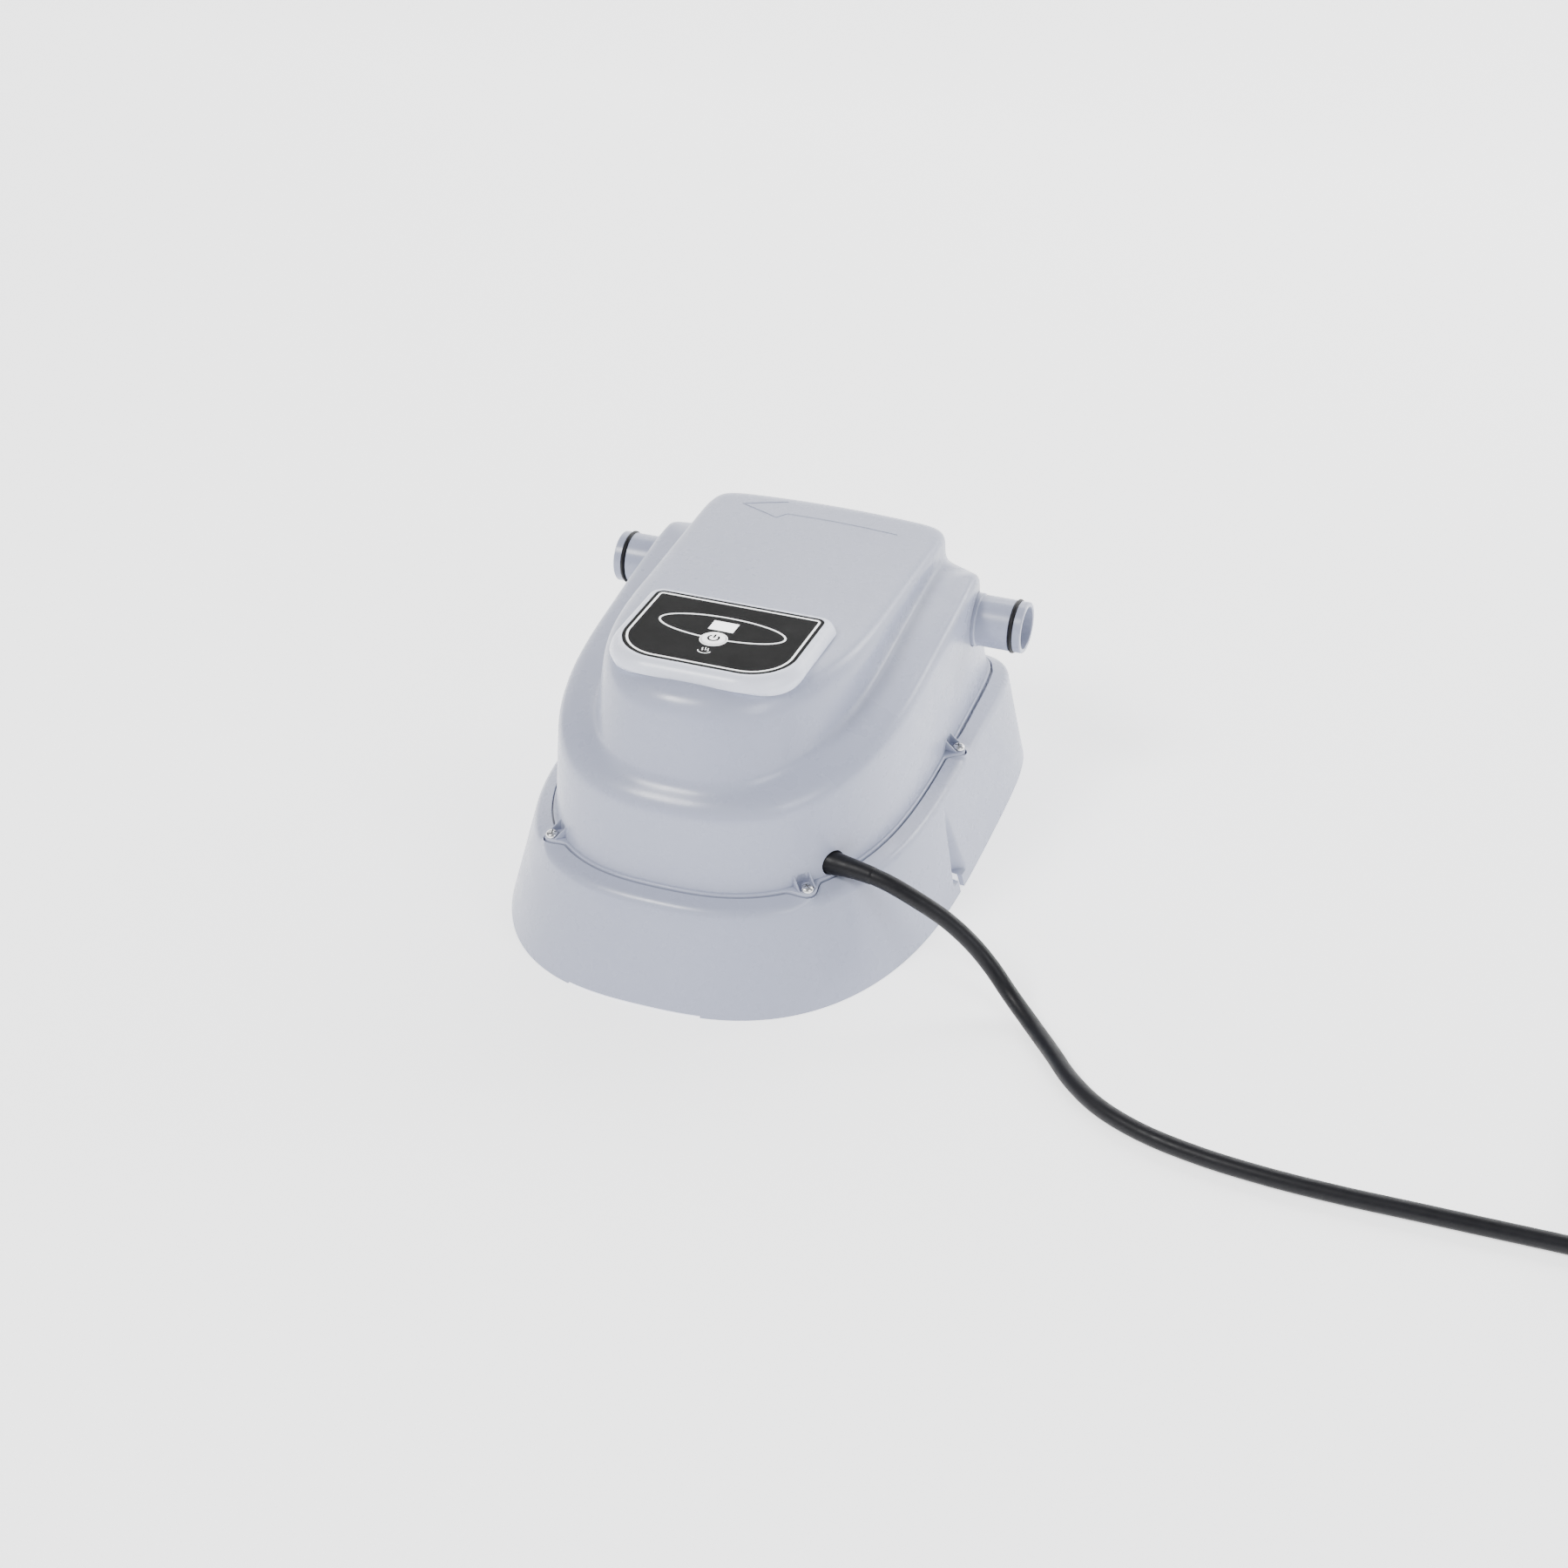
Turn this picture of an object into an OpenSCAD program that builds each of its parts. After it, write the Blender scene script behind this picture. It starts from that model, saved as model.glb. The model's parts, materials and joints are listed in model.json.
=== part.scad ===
// Flow-through electric pool heater: flared base, two-tier cover, control panel, heated flow tube
// and a rubber mains lead. Front is -Y, up is +Z, the hose axis runs along X.
// The origin is on the floor, in the middle of the footprint.

/* [Base] */
// Half width of the skirt on the floor
skirt_w = 133.7; // [132:0.1:134.5]
// Half length of the skirt on the floor
skirt_l = 188; // [184:0.5:192]
// Half width at the top of the skirt
brow_w = 118; // [116:0.5:120]
// Height of the skirt's top edge
brow_z = 61; // [60:0.5:61.5]
// Height of the ledge at the cover's seam
ledge_z = 64.5; // [64:0.1:65]
// Height of the deck inside the cover
deck_z = 62; // [61.8:0.1:62.2]
// Thickness of the moulded walls
wall = 3; // [2.5:0.1:3.2]

/* [Cover] */
// Half width of the cover's flange
seam_w = 108; // [107:0.5:109]
// Half width of the outer tier at its top edge
tier_w = 105; // [104:0.5:106]
// Half width of the hood at its foot
foot_w = 77.5; // [76:0.5:79]
// Half width of the hood at its top edge
hood_w = 78; // [77:0.5:79]
// Height of the hood's roof
roof_z = 177; // [176:0.5:178]
// Height of the screw flange's top face
flange_z = 66; // [65.9:0.1:66.2]

/* [Hose stubs] */
// Outer diameter of the hose stubs
spigot_d = 32; // [32:0.1:32.2]
// Bore of the hose stubs
spigot_bore = 26.4; // [26:0.1:27]
// Distance from the middle to a stub's tip
spigot_tip = 135.6; // [135:0.1:136]
// Height of the hose axis
flow_z = 125; // [124:0.5:126]
// Distance of the hose axis behind the middle
flow_y = 101; // [100:0.5:102]

/* [Panel] */
// Width of the printed panel
panel_w = 105; // [104:0.5:106]
// Height of the panel's face
panel_z = 182.3; // [182:0.1:182.6]
// Diameter of the push button
button_d = 13.8; // [13:0.1:14]
// Travel of the push button
button_travel = 1; // [0.6:0.1:1]

/* [Lead] */
// Diameter of the mains lead
cord_d = 10; // [9.5:0.1:10]
// Mean radius of the coiled lead
coil_r = 55; // [50:1:60]

/* [Hidden] */
$fn = 48;

// Colours
grey = [0.77, 0.79, 0.84];
pale = [0.87, 0.89, 0.92];
dark = [0.2, 0.2, 0.2];
rubber = [0.08, 0.08, 0.09];
steel = [0.75, 0.76, 0.78];
brass = [0.8, 0.66, 0.34];

// Outlines: half width, front length, rear length, front and rear squareness, rear taper
skirt_foot = [skirt_w, skirt_l, skirt_l - 0.36, 2.6, 7, 0.06];
skirt_brow = [brow_w, 169.5, 172, 2.6, 10, 0.04];
seam = [seam_w, 159, 162.5, 2.6, 14, 0.075];
tier_foot = [seam_w - 1.6, 157.4, 160.9, 2.6, 14, 0.075];
tier_edge = [tier_w, 152, 134, 2.5, 7.5, 0];
hood_foot = [foot_w, 140.5, 131, 2.7, 16, 0];
hood_edge = [hood_w, 128, 124, 2.3, 17, 0];
sides = 96;
cover_wall = 2.8;

// Screw ears round the cover, mirrored left to right
ears = [[79.3, -133.6], [112, 43.6], [60, 165.5]];
ear_r = 4.4;
lug_y = -8;

// Lead: hand-chosen route from the grommet to the coil
cord_route = [[88, -111, 72], [104, -113.5, 72], [120, -115.4, 69.8], [138, -115, 62],
    [155, -112.5, 51], [170, -111, 38], [183, -112, 25], [197, -118, 12.5], [214, -132, 6],
    [232, -152, 5], [248, -171, 5], [268, -188, 5], [295, -201, 5], [328, -209, 5],
    [365, -213, 5], [405, -214, 5], [445, -213, 5], [485, -212, 5], [525, -211, 5],
    [565, -211, 5], [602, -211, 5]];
coil_at = [602, -146];
plug_route = [[667, -146, 15], [668.5, -133, 16.6], [672, -120, 18.4], [677, -108, 18.4]];
plug_turn = atan2(12, 5);

// ---- Outline and surface functions ----
function taper(o, y) = let (u = max(0, y / o[2])) 1 - o[5] * u * u / (u + 0.25);
function outline_pt(o, a, grow = 0) =
    let (c = cos(a), s = sin(a), w = o[0] + grow, l = (s < 0 ? o[1] : o[2]) + grow,
        n = s < 0 ? o[3] : o[4],
        q = pow(pow(abs(c) / w, n) + pow(abs(s) / l, n), -1 / n))
    [q * c * taper(o, q * s), q * s];
function outline(o, grow = 0) = [for (i = [0:sides - 1]) outline_pt(o, 360 * i / sides, grow)];
function at_z(p, z) = [p[0], p[1], z];
// The tier falls away behind the hose axis
function rear_fall(y, drop) = drop * ease((y - 98) / 38);
function tier_z(y) = 142 + 24.5 * (y / 150) - 3 * pow(y / 150, 2) - rear_fall(y, 20);
function foot_z(y) = 145 + 22 * (y / 150) - pow(y / 150, 2) - rear_fall(y, 15);
function hood_z(x, y) = roof_z + 2 * y / 150 - 3.8 * pow(x / 75, 2);
function ease(t) = let (u = min(1, max(0, t))) u * u * (3 - 2 * u);
// One point of a rounded corner b between a and c, cut back by r
function bend_pt(a, b, c, r, t) =
    let (k = min(r, 0.48 * norm(a - b), 0.48 * norm(c - b)),
        p = b + (a - b) * k / norm(a - b), q = b + (c - b) * k / norm(c - b))
    (1 - t) * (1 - t) * p + 2 * t * (1 - t) * b + t * t * q;
function bend(a, b, c, r, n) = [for (j = [0:n]) bend_pt(a, b, c, r, j / n)];
// The cover's section at one angle, from the flange to near the middle of the roof
function cover_section(a, d) =
    let (f = outline_pt(tier_foot, a, -d), e = outline_pt(tier_edge, a, -d),
        g = outline_pt(hood_foot, a, -d), h = outline_pt(hood_edge, a, -d),
        p0 = at_z(f, flange_z), p1 = at_z(e, tier_z(e[1]) - d), p2 = at_z(g, foot_z(g[1]) - d),
        p3 = at_z(h, hood_z(h[0], h[1]) - d), k = 0.6,
        p4 = [k * h[0], k * h[1], hood_z(k * h[0], k * h[1]) - d])
    concat([p0], bend(p0, p1, p2, 9.5 - d, 4),
        bend(p1, p2, p3, 5 + d, 3), bend(p2, p3, p4, 15 - d, 5),
        [p4, [0.3 * h[0], 0.3 * h[1], hood_z(0.3 * h[0], 0.3 * h[1]) - d]]);

// A closed solid from rings of points, capped by a fan at each end
module loft(rings, low, high) {
    m = len(rings);
    n = len(rings[0]);
    points = concat([for (r = rings) each r], [low, high]);
    walls = [for (k = [0:m - 2], i = [0:n - 1])
        [k * n + i, (k + 1) * n + i, (k + 1) * n + (i + 1) % n, k * n + (i + 1) % n]];
    floor_fan = [for (i = [0:n - 1]) [m * n, i, (i + 1) % n]];
    roof_fan = [for (i = [0:n - 1]) [m * n + 1, (m - 1) * n + (i + 1) % n, (m - 1) * n + i]];
    tris = concat([for (w = walls) [w[0], w[1], w[2]]], [for (w = walls) [w[0], w[2], w[3]]],
        floor_fan, roof_fan);
    polyhedron(points, tris);
}
// The cover's solid form, d inside its outer face
module cover_form(d, foot) {
    sections = [for (i = [0:sides - 1]) cover_section(360 * i / sides, d)];
    rows = [for (k = [0:len(sections[0]) - 1]) [for (s = sections) s[k]]];
    base = [for (p = rows[0]) at_z(p, foot)];
    loft(concat([base], rows), [0, 0, foot], [0, 0, hood_z(0, 0) - d]);
}
module outline_prism(o, grow, low, high) {
    translate([0, 0, low]) linear_extrude(high - low) polygon(outline(o, grow));
}
module pair_of_ears() {
    for (s = [-1, 1], e = ears) translate([s * e[0], e[1]]) children();
}
module rod(a, b, r, fn = 24) {
    v = b - a;
    translate(a) rotate([0, acos(v[2] / norm(v)), atan2(v[1], v[0])]) cylinder(h = norm(v), r = r, $fn = fn);
}
module along_x(at, length, r1, r2, fn = 64) {
    translate(at) rotate([0, 90, 0]) cylinder(h = length, r1 = r1, r2 = r2, $fn = fn);
}

// ---- Swept tube along points ----
function unit(v) = v / norm(v);
function tangent(p, i) = unit(p[min(i + 1, len(p) - 1)] - p[max(i - 1, 0)]);
function side(t) = unit(cross(t, abs(t[2]) < 0.9 ? [0, 0, 1] : [1, 0, 0]));
module tube(p, d, n = 10) {
    rings = [for (i = [0:len(p) - 1]) let (t = tangent(p, i), s = side(t), u = cross(s, t))
        [for (k = [0:n - 1]) p[i] + d / 2 * (cos(360 * k / n) * s + sin(360 * k / n) * u)]];
    loft([for (r = rings) [for (k = [n - 1:-1:0]) r[k]]], p[0], p[len(p) - 1]);
}

// ---- Base ----
module skirt_form(d, top) {
    foot = [for (p = outline(skirt_foot, -d)) at_z(p, d > 0 ? -1 : 0)];
    if (d > 0) {
        loft([foot, [for (p = outline(skirt_brow, -d)) at_z(p, top)]], [0, 0, -1], [0, 0, top]);
    } else {
        crown = [for (i = [0:sides - 1]) let (a = 360 * i / sides, f = at_z(outline_pt(skirt_foot, a), 0),
            b = at_z(outline_pt(skirt_brow, a), brow_z), s = at_z(outline_pt(seam, a, 0.5), ledge_z))
            bend(f, b, s, 4, 4)];
        rows = [for (k = [0:4]) [for (c = crown) c[k]]];
        lip = [for (p = outline(seam, 0.5)) at_z(p, ledge_z)];
        floor_ring = [for (p = outline(seam, 0.5)) at_z(p, deck_z)];
        loft(concat([foot], rows, [lip, floor_ring]), [0, 0, 0], [0, 0, deck_z]);
    }
}
module lug_pocket() {
    // Groove for a fixing screw: narrow and round at the back, wider towards the outside
    hull() {
        translate([121, lug_y, 8]) cylinder(h = 60, r = 1.5, $fn = 32);
        translate([140, lug_y - 14, 8]) cylinder(h = 60, r = 1, $fn = 32);
        translate([140, lug_y + 14, 8]) cylinder(h = 60, r = 1, $fn = 32);
    }
    hull() {
        translate([126.5, lug_y, -1]) cylinder(h = 10, r = 3.2, $fn = 32);
        translate([140, lug_y, -1]) cylinder(h = 10, r = 3.4, $fn = 32);
    }
}
module base_shell() color(grey) difference() {
    union() {
        difference() {
            skirt_form(0, 0);
            skirt_form(wall, deck_z - 3.5);
            pair_of_ears() translate([0, 0, deck_z - 0.2]) cylinder(h = 20, r = ear_r + 0.5, $fn = 32);
        }
        // Bosses under the cover screws
        intersection() {
            pair_of_ears() translate([0, 0, 44]) cylinder(h = deck_z - 45, r = 5.2, $fn = 32);
            skirt_form(0.5, deck_z);
        }
        // Solid corner behind each fixing groove
        intersection() {
            for (s = [-1, 1]) translate([s * 124, lug_y, 30]) cube([22, 30, 60], center = true);
            skirt_form(0.3, deck_z - 0.5);
        }
        // Ribs under the deck
        for (x = [-60, 60]) hull() {
            translate([x - 1.2, -120, deck_z - 3.6]) cube([2.4, 260, 0.5]);
            translate([x - 1.2, -105, 40]) cube([2.4, 235, 1]);
        }
        for (y = [-60, 0, 60, 120]) hull() {
            translate([-108, y - 1.2, deck_z - 3.6]) cube([216, 2.4, 0.5]);
            translate([-104, y - 1.2, 40]) cube([208, 2.4, 1]);
        }
    }
    pair_of_ears() translate([0, 0, 46]) cylinder(h = 40, r = 1.95, $fn = 24);
    lug_pocket();
    mirror([1, 0, 0]) lug_pocket();
    // Relief of the front rim
    translate([-50, -200, -1]) cube([84, 40, 2.2]);
}

// ---- Cover ----
module ear_form() {
    pair_of_ears() translate([0, 0, 63.5]) cylinder(h = flange_z - 63.5, r = ear_r, $fn = 32);
}
module gusset(e, s, turn) {
    // A small fin from the cover's wall down to the ear
    a = atan2(e[1], e[0]) + turn;
    p = [s * (e[0] - 3 * cos(a)), e[1] - 3 * sin(a)];
    q = [s * (e[0] - 11 * cos(a)), e[1] - 11 * sin(a)];
    hull() {
        translate([p[0], p[1], flange_z - 0.5]) cylinder(h = 0.6, r = 0.5, $fn = 13);
        translate([q[0], q[1], flange_z - 0.5]) cylinder(h = 7, r = 0.5, $fn = 13);
    }
}
exit_turn = -8.9;
module cord_hole(r) {
    translate([88, -111, 72]) rotate([0, 90, exit_turn]) cylinder(h = 50, r = r, center = true, $fn = 32);
}
module top_housing() color(grey) difference() {
    union() {
        cover_form(0, 63.5);
        outline_prism(seam, 0, 63.5, flange_z);
        ear_form();
        for (s = [-1, 1], e = ears, t = [-28, 28]) difference() {
            gusset(e, s, t);
            translate([s * e[0], e[1], flange_z]) cylinder(h = 20, r = 4.3, $fn = 24);
        }
    }
    cover_form(cover_wall, 60);
    pair_of_ears() translate([0, 0, 50]) cylinder(h = 40, r = 2.2, $fn = 24);
    for (s = [-1, 1]) {
        along_x([s * 101 - 15, flow_y, flow_z], 30, 18, 18, 48);
    }
    cord_hole(7.6);
    // Window for the control unit under the panel
    translate([-44, -100, 150]) cube([88, 66, 40]);
}
module housing_gasket() color(rubber) difference() {
    outline_prism(seam, -1.5, deck_z, 63.5);
    outline_prism(seam, -5, deck_z - 1, 65);
}
module cover_screws() color(steel) pair_of_ears() {
    rotate_extrude($fn = 32) polygon([[0, 48], [1.3, 48.5], [1.9, 50], [1.9, flange_z], [3.8, flange_z],
        [3.8, flange_z + 1.2], [3.1, flange_z + 2.2], [1.7, flange_z + 2.8], [0, flange_z + 2.9]]);
}

// ---- Panel ----
panel_front = -106.4;
panel_back = -31.3;
panel_mid = [0, -59.6];
button_at = [0, -75.2];
front_corner = 27;
back_corner = 5;
module panel_outline(grow) {
    x = panel_w / 2 - front_corner;
    hull() for (s = [-1, 1]) {
        translate([s * x, panel_front + front_corner]) circle(front_corner + grow, $fn = 64);
        translate([s * (panel_w / 2 - back_corner), panel_back - back_corner]) circle(back_corner + grow, $fn = 32);
    }
}
module panel_slab(grow, low, high) {
    translate([0, 0, low]) linear_extrude(high - low) panel_outline(grow);
}
module panel_bezel() color(pale) difference() {
    union() {
        difference() {
            hull() {
                panel_slab(1.2, panel_z - 0.5, panel_z);
                panel_slab(1.9, panel_z - 1.2, panel_z - 0.5);
                panel_slab(6.5, 164, panel_z - 5.5);
            }
            // Room for the control unit
            translate([-40, -94, 150]) cube([80, 56, 30]);
            cover_form(0, 63.5);
        }
        // Posts that carry the display board
        for (x = [-33, 33], y = [-88, -42]) translate([x, y, 167.8]) cylinder(h = 12.4, r = 2.6, $fn = 32);
        for (s = [-1, 1], y = [-88, -42]) translate([s * 38.2, y, 176]) cube([4.6, 1.6, 8.2], center = true);
    }
    panel_slab(0.1, panel_z - 0.7, panel_z + 1);
    translate([button_at[0], button_at[1], 150]) cylinder(h = 40, r = button_d / 2 + 0.2, $fn = 48);
    translate([panel_mid[0] - 7.9, panel_mid[1] - 5.5, 170]) cube([15.8, 11, 20]);
    for (x = [-33, 33], y = [-88, -42]) translate([x, y, 160]) cylinder(h = 15, r = 1.25, $fn = 24);
}
module panel_overlay() color(dark) difference() {
    panel_slab(0, panel_z - 0.7, panel_z - 0.1);
    translate([button_at[0], button_at[1], 150]) cylinder(h = 40, r = button_d / 2 + 0.2, $fn = 48);
    translate([panel_mid[0] - 7.75, panel_mid[1] - 5.35, 170]) cube([15.5, 10.7, 20]);
}
module display_window() color("white") {
    translate([panel_mid[0] - 7.7, panel_mid[1] - 5.3, panel_z - 1.4]) cube([15.4, 10.6, 1.3]);
}
module power_button() color("white") translate([button_at[0], button_at[1], 0]) {
    rotate_extrude($fn = 48) polygon([[0, 172], [2, 172], [2, 178.4], [8, 178.4], [8, 179.8],
        [button_d / 2, 179.8], [button_d / 2, 182.6], [6.3, 183], [0, 183]]);
}
module button_spring() color(steel) translate([button_at[0], button_at[1], 0]) {
    difference() {
        translate([0, 0, 167.6]) cylinder(h = 10.7, r = 5.1, $fn = 32);
        translate([0, 0, 160]) cylinder(h = 20, r = 4.5, $fn = 32);
    }
}
module tact_switch() color(dark) translate([button_at[0], button_at[1], 0]) {
    translate([-3, -3, 167.6]) cube([6, 6, 2.4]);
    translate([0, 0, 170]) cylinder(h = 0.6, r = 1.7, $fn = 24);
}
module display_board() color("darkgreen") difference() {
    translate([-38, -92, 166]) cube([76, 54, 1.6]);
    for (x = [-33, 33], y = [-88, -42]) translate([x, y, 160]) cylinder(h = 15, r = 1.25, $fn = 24);
}
module display_module() color("black") {
    translate([panel_mid[0] - 7.6, panel_mid[1] - 5.2, 172]) cube([15.2, 10.4, 8.8]);
    for (x = [-6, -2, 2, 6], y = [-4, 4]) {
        translate([panel_mid[0] + x, panel_mid[1] + y, 167.6]) cylinder(h = 4.4, r = 0.4, $fn = 16);
    }
}
module display_screws() color(steel) for (x = [-33, 33], y = [-88, -42]) translate([x, y, 0]) {
    translate([0, 0, 164.4]) cylinder(h = 1.6, r = 2.3, $fn = 24);
    translate([0, 0, 166]) cylinder(h = 8, r = 1.1, $fn = 24);
}

// ---- Electronics on the deck ----
board_x = [-75, 45];
board_y = [-105, -25];
board_z = 70;
board_holes = [for (x = [board_x[0] + 5, board_x[1] - 5], y = [board_y[0] + 5, board_y[1] - 5]) [x, y]];
module board_standoffs() color(brass) for (h = board_holes) translate([h[0], h[1], deck_z]) difference() {
    cylinder(h = board_z - deck_z, r = 3, $fn = 24);
    translate([0, 0, 1]) cylinder(h = 10, r = 1.35, $fn = 24);
}
module power_board() color("darkgreen") difference() {
    translate([board_x[0], board_y[0], board_z]) cube([board_x[1] - board_x[0], board_y[1] - board_y[0], 1.6]);
    for (h = board_holes) translate([h[0], h[1], 60]) cylinder(h = 20, r = 1.6, $fn = 24);
}
module board_screws() color(steel) for (h = board_holes) translate([h[0], h[1], 0]) {
    translate([0, 0, 65]) cylinder(h = 6.6, r = 1.25, $fn = 24);
    translate([0, 0, 71.6]) cylinder(h = 1.8, r = 2.8, $fn = 24);
}
module relays() color("dodgerblue") for (x = [-20, 9]) {
    translate([x, -62, 71.6]) cube([27, 31, 19]);
}
module transformer() {
    color(dark) translate([-64, -94, 71.6]) cube([42, 14, 33]);
    color(brass) translate([-61, -97, 73]) cube([36, 20, 26]);
}
module capacitors() color("black") for (x = [-6, 8, 22]) {
    translate([x, -90, 71.6]) cylinder(h = 18, r = 5, $fn = 32);
}
module terminal_block() {
    color("ivory") translate([62, -88, deck_z]) cube([18, 42, 16]);
    color(brass) for (i = [0:2]) translate([71, -80 + 13 * i, deck_z + 16]) cylinder(h = 1.5, r = 3, $fn = 24);
}
module earth_stud() color(brass) translate([64, -28, deck_z]) {
    cylinder(h = 3, r = 5.5, $fn = 24);
    cylinder(h = 14, r = 2.4, $fn = 24);
    translate([0, 0, 6]) cylinder(h = 3.5, r = 4.5, $fn = 24);
}

// ---- Heated flow tube ----
tube_r = 25;
tube_bore = 22;
flange_r = 31.5;
screw_ring = 28;
flange_x = 62;
plug_x = -40;
probe_x = 10;
turret_x = 44;
screw_angles = [15, 75, 135, 195, 255, 315];
module flow_at(x) {
    translate([x, flow_y, flow_z]) children();
}
module heater_chamber() color("white") difference() {
    union() {
        along_x([-flange_x, flow_y, flow_z], 2 * flange_x, tube_r, tube_r);
        for (x = [-flange_x, flange_x - 5]) along_x([x, flow_y, flow_z], 5, flange_r, flange_r);
        flow_at(plug_x) rotate([90, 0, 0]) cylinder(h = 31, r = 16);
        flow_at(probe_x) rotate([90, 0, 0]) cylinder(h = 31, r = 6);
        flow_at(turret_x) cylinder(h = 31, r = 12);
    }
    along_x([-flange_x - 1, flow_y, flow_z], 2 * flange_x + 2, tube_bore, tube_bore);
    flow_at(plug_x) rotate([90, 0, 0]) cylinder(h = 40, r = 13);
    flow_at(probe_x) rotate([90, 0, 0]) cylinder(h = 40, r = 3.1);
    flow_at(turret_x) cylinder(h = 40, r = 9.1);
    for (a = screw_angles, x = [-flange_x - 1, flange_x - 6]) {
        flow_at(x) rotate([a, 0, 0]) translate([0, screw_ring, 0]) rotate([0, 90, 0]) cylinder(h = 7, r = 1.6, $fn = 24);
    }
}
collar_r = spigot_d / 2 + 0.7;
module spigot(sign) {
    // Seen along +X: bolted flange, collar in the cover's wall, plain stub, seal groove, tip
    mirror([sign < 0 ? 1 : 0, 0, 0]) difference() {
        flow_at(0) rotate([0, 90, 0]) rotate_extrude($fn = 96) polygon([
            [spigot_bore / 2, flange_x + 1.5], [flange_r, flange_x + 1.5], [flange_r, flange_x + 6],
            [20, flange_x + 6], [collar_r, flange_x + 9], [collar_r, 106], [spigot_d / 2, 106.8],
            [spigot_d / 2, 127.4], [14.4, 127.4], [14.4, 130.6], [spigot_d / 2, 130.6],
            [spigot_d / 2, spigot_tip - 0.6], [spigot_d / 2 - 0.6, spigot_tip],
            [spigot_bore / 2 + 0.4, spigot_tip], [spigot_bore / 2, spigot_tip - 0.4]]);
        for (a = screw_angles) flow_at(flange_x) rotate([a, 0, 0]) translate([0, screw_ring, 0]) {
            rotate([0, 90, 0]) cylinder(h = 10, r = 2.2, $fn = 24);
        }
    }
}
module inlet_spigot() color(grey) spigot(1);
module outlet_spigot() color(grey) spigot(-1);
module o_ring(x) color(rubber) flow_at(x) rotate([0, 90, 0]) {
    rotate_extrude($fn = 96) translate([15.7, 0]) circle(1.3, $fn = 24);
}
module inlet_o_ring() o_ring(129);
module outlet_o_ring() o_ring(-129);
module spigot_gaskets() color(rubber) for (x = [-flange_x - 1.5, flange_x]) difference() {
    along_x([x, flow_y, flow_z], 1.5, 26, 26);
    along_x([x - 1, flow_y, flow_z], 4, tube_bore, tube_bore);
}
module spigot_screws() color(steel) for (s = [-1, 1], a = screw_angles) mirror([s < 0 ? 1 : 0, 0, 0]) {
    flow_at(0) rotate([a, 0, 0]) translate([0, screw_ring, 0]) rotate([0, 90, 0]) {
        translate([0, 0, flange_x - 4]) cylinder(h = 10, r = 1.5, $fn = 24);
        translate([0, 0, flange_x + 6]) cylinder(h = 2.4, r = 3.2, $fn = 24);
    }
}
cradle_x = [-18, 24];
cradle_top = 108;
module chamber_cradles() color("dimgray") for (x = cradle_x) difference() {
    translate([x - 5, flow_y - 34, deck_z]) cube([10, 68, cradle_top - deck_z]);
    along_x([x - 6, flow_y, flow_z], 12, tube_r + 0.05, tube_r + 0.05);
    translate([x - 6, flow_y - 14, deck_z - 1]) cube([12, 28, 24]);
    for (s = [-1, 1]) translate([x, flow_y + s * 30, 90]) cylinder(h = 30, r = 1.6, $fn = 24);
}
module chamber_straps() color(steel) for (x = cradle_x) difference() {
    drop = flow_z - cradle_top;
    translate([x - 4, flow_y, flow_z]) rotate([90, 0, 90]) linear_extrude(8) difference() {
        union() {
            circle(tube_r + 1.3, $fn = 64);
            translate([-tube_r - 1.3, -drop]) square([2 * tube_r + 2.6, drop]);
            translate([-34, -drop]) square([68, 1.2]);
        }
        translate([-40, -drop - 40]) square([80, 40]);
        circle(tube_r + 0.1, $fn = 64);
        translate([-tube_r - 0.1, -drop - 1]) square([2 * tube_r + 0.2, drop + 1]);
    }
    for (s = [-1, 1]) translate([x, flow_y + s * 30, 90]) cylinder(h = 30, r = 1.6, $fn = 24);
}
module strap_screws() color(steel) for (x = cradle_x, s = [-1, 1]) translate([x, flow_y + s * 30, 0]) {
    translate([0, 0, 98]) cylinder(h = 11.2, r = 1.5, $fn = 24);
    translate([0, 0, cradle_top + 1.2]) cylinder(h = 2, r = 2.8, $fn = 24);
}
element_r = 4;
leg_z = [-8, 8];
module element_plug() color(brass) difference() {
    union() {
        flow_at(plug_x) translate([0, -37, 0]) rotate([90, 0, 0]) cylinder(h = 3, r = 16);
        flow_at(plug_x) translate([0, -25, 0]) rotate([90, 0, 0]) cylinder(h = 12, r = 12.9);
        flow_at(plug_x) translate([0, -31, 0]) rotate([90, 0, 0]) cylinder(h = 6.5, r = 15.9);
    }
    for (z = leg_z) flow_at(plug_x) translate([0, -10, z]) rotate([90, 0, 0]) cylinder(h = 40, r = element_r, $fn = 32);
}
module heating_element() color(steel) flow_at(0) {
    run = 10;
    tip_x = 6;
    for (z = leg_z) translate([0, 0, z]) {
        translate([plug_x, -run, 0]) rotate([90, 0, 0]) cylinder(h = 36, r = element_r, $fn = 32);
        translate([plug_x + run, -run, 0]) rotate([0, 0, 90]) rotate_extrude(angle = 90, $fn = 64) {
            translate([run, 0]) circle(element_r, $fn = 32);
        }
        translate([plug_x + run, 0, 0]) rotate([0, 90, 0]) cylinder(h = tip_x - plug_x - run, r = element_r, $fn = 32);
    }
    translate([tip_x, 0, 0]) rotate([90, 0, 0]) rotate([0, 0, -90]) rotate_extrude(angle = 180, $fn = 64) {
        translate([leg_z[1], 0]) circle(element_r, $fn = 32);
    }
}
module element_terminals() for (z = leg_z) flow_at(plug_x) translate([0, -46, z]) rotate([90, 0, 0]) {
    color("white") cylinder(h = 5, r = 3.4, $fn = 24);
    color(steel) translate([0, 0, 5]) cylinder(h = 8, r = 1.8, $fn = 24);
}
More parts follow.
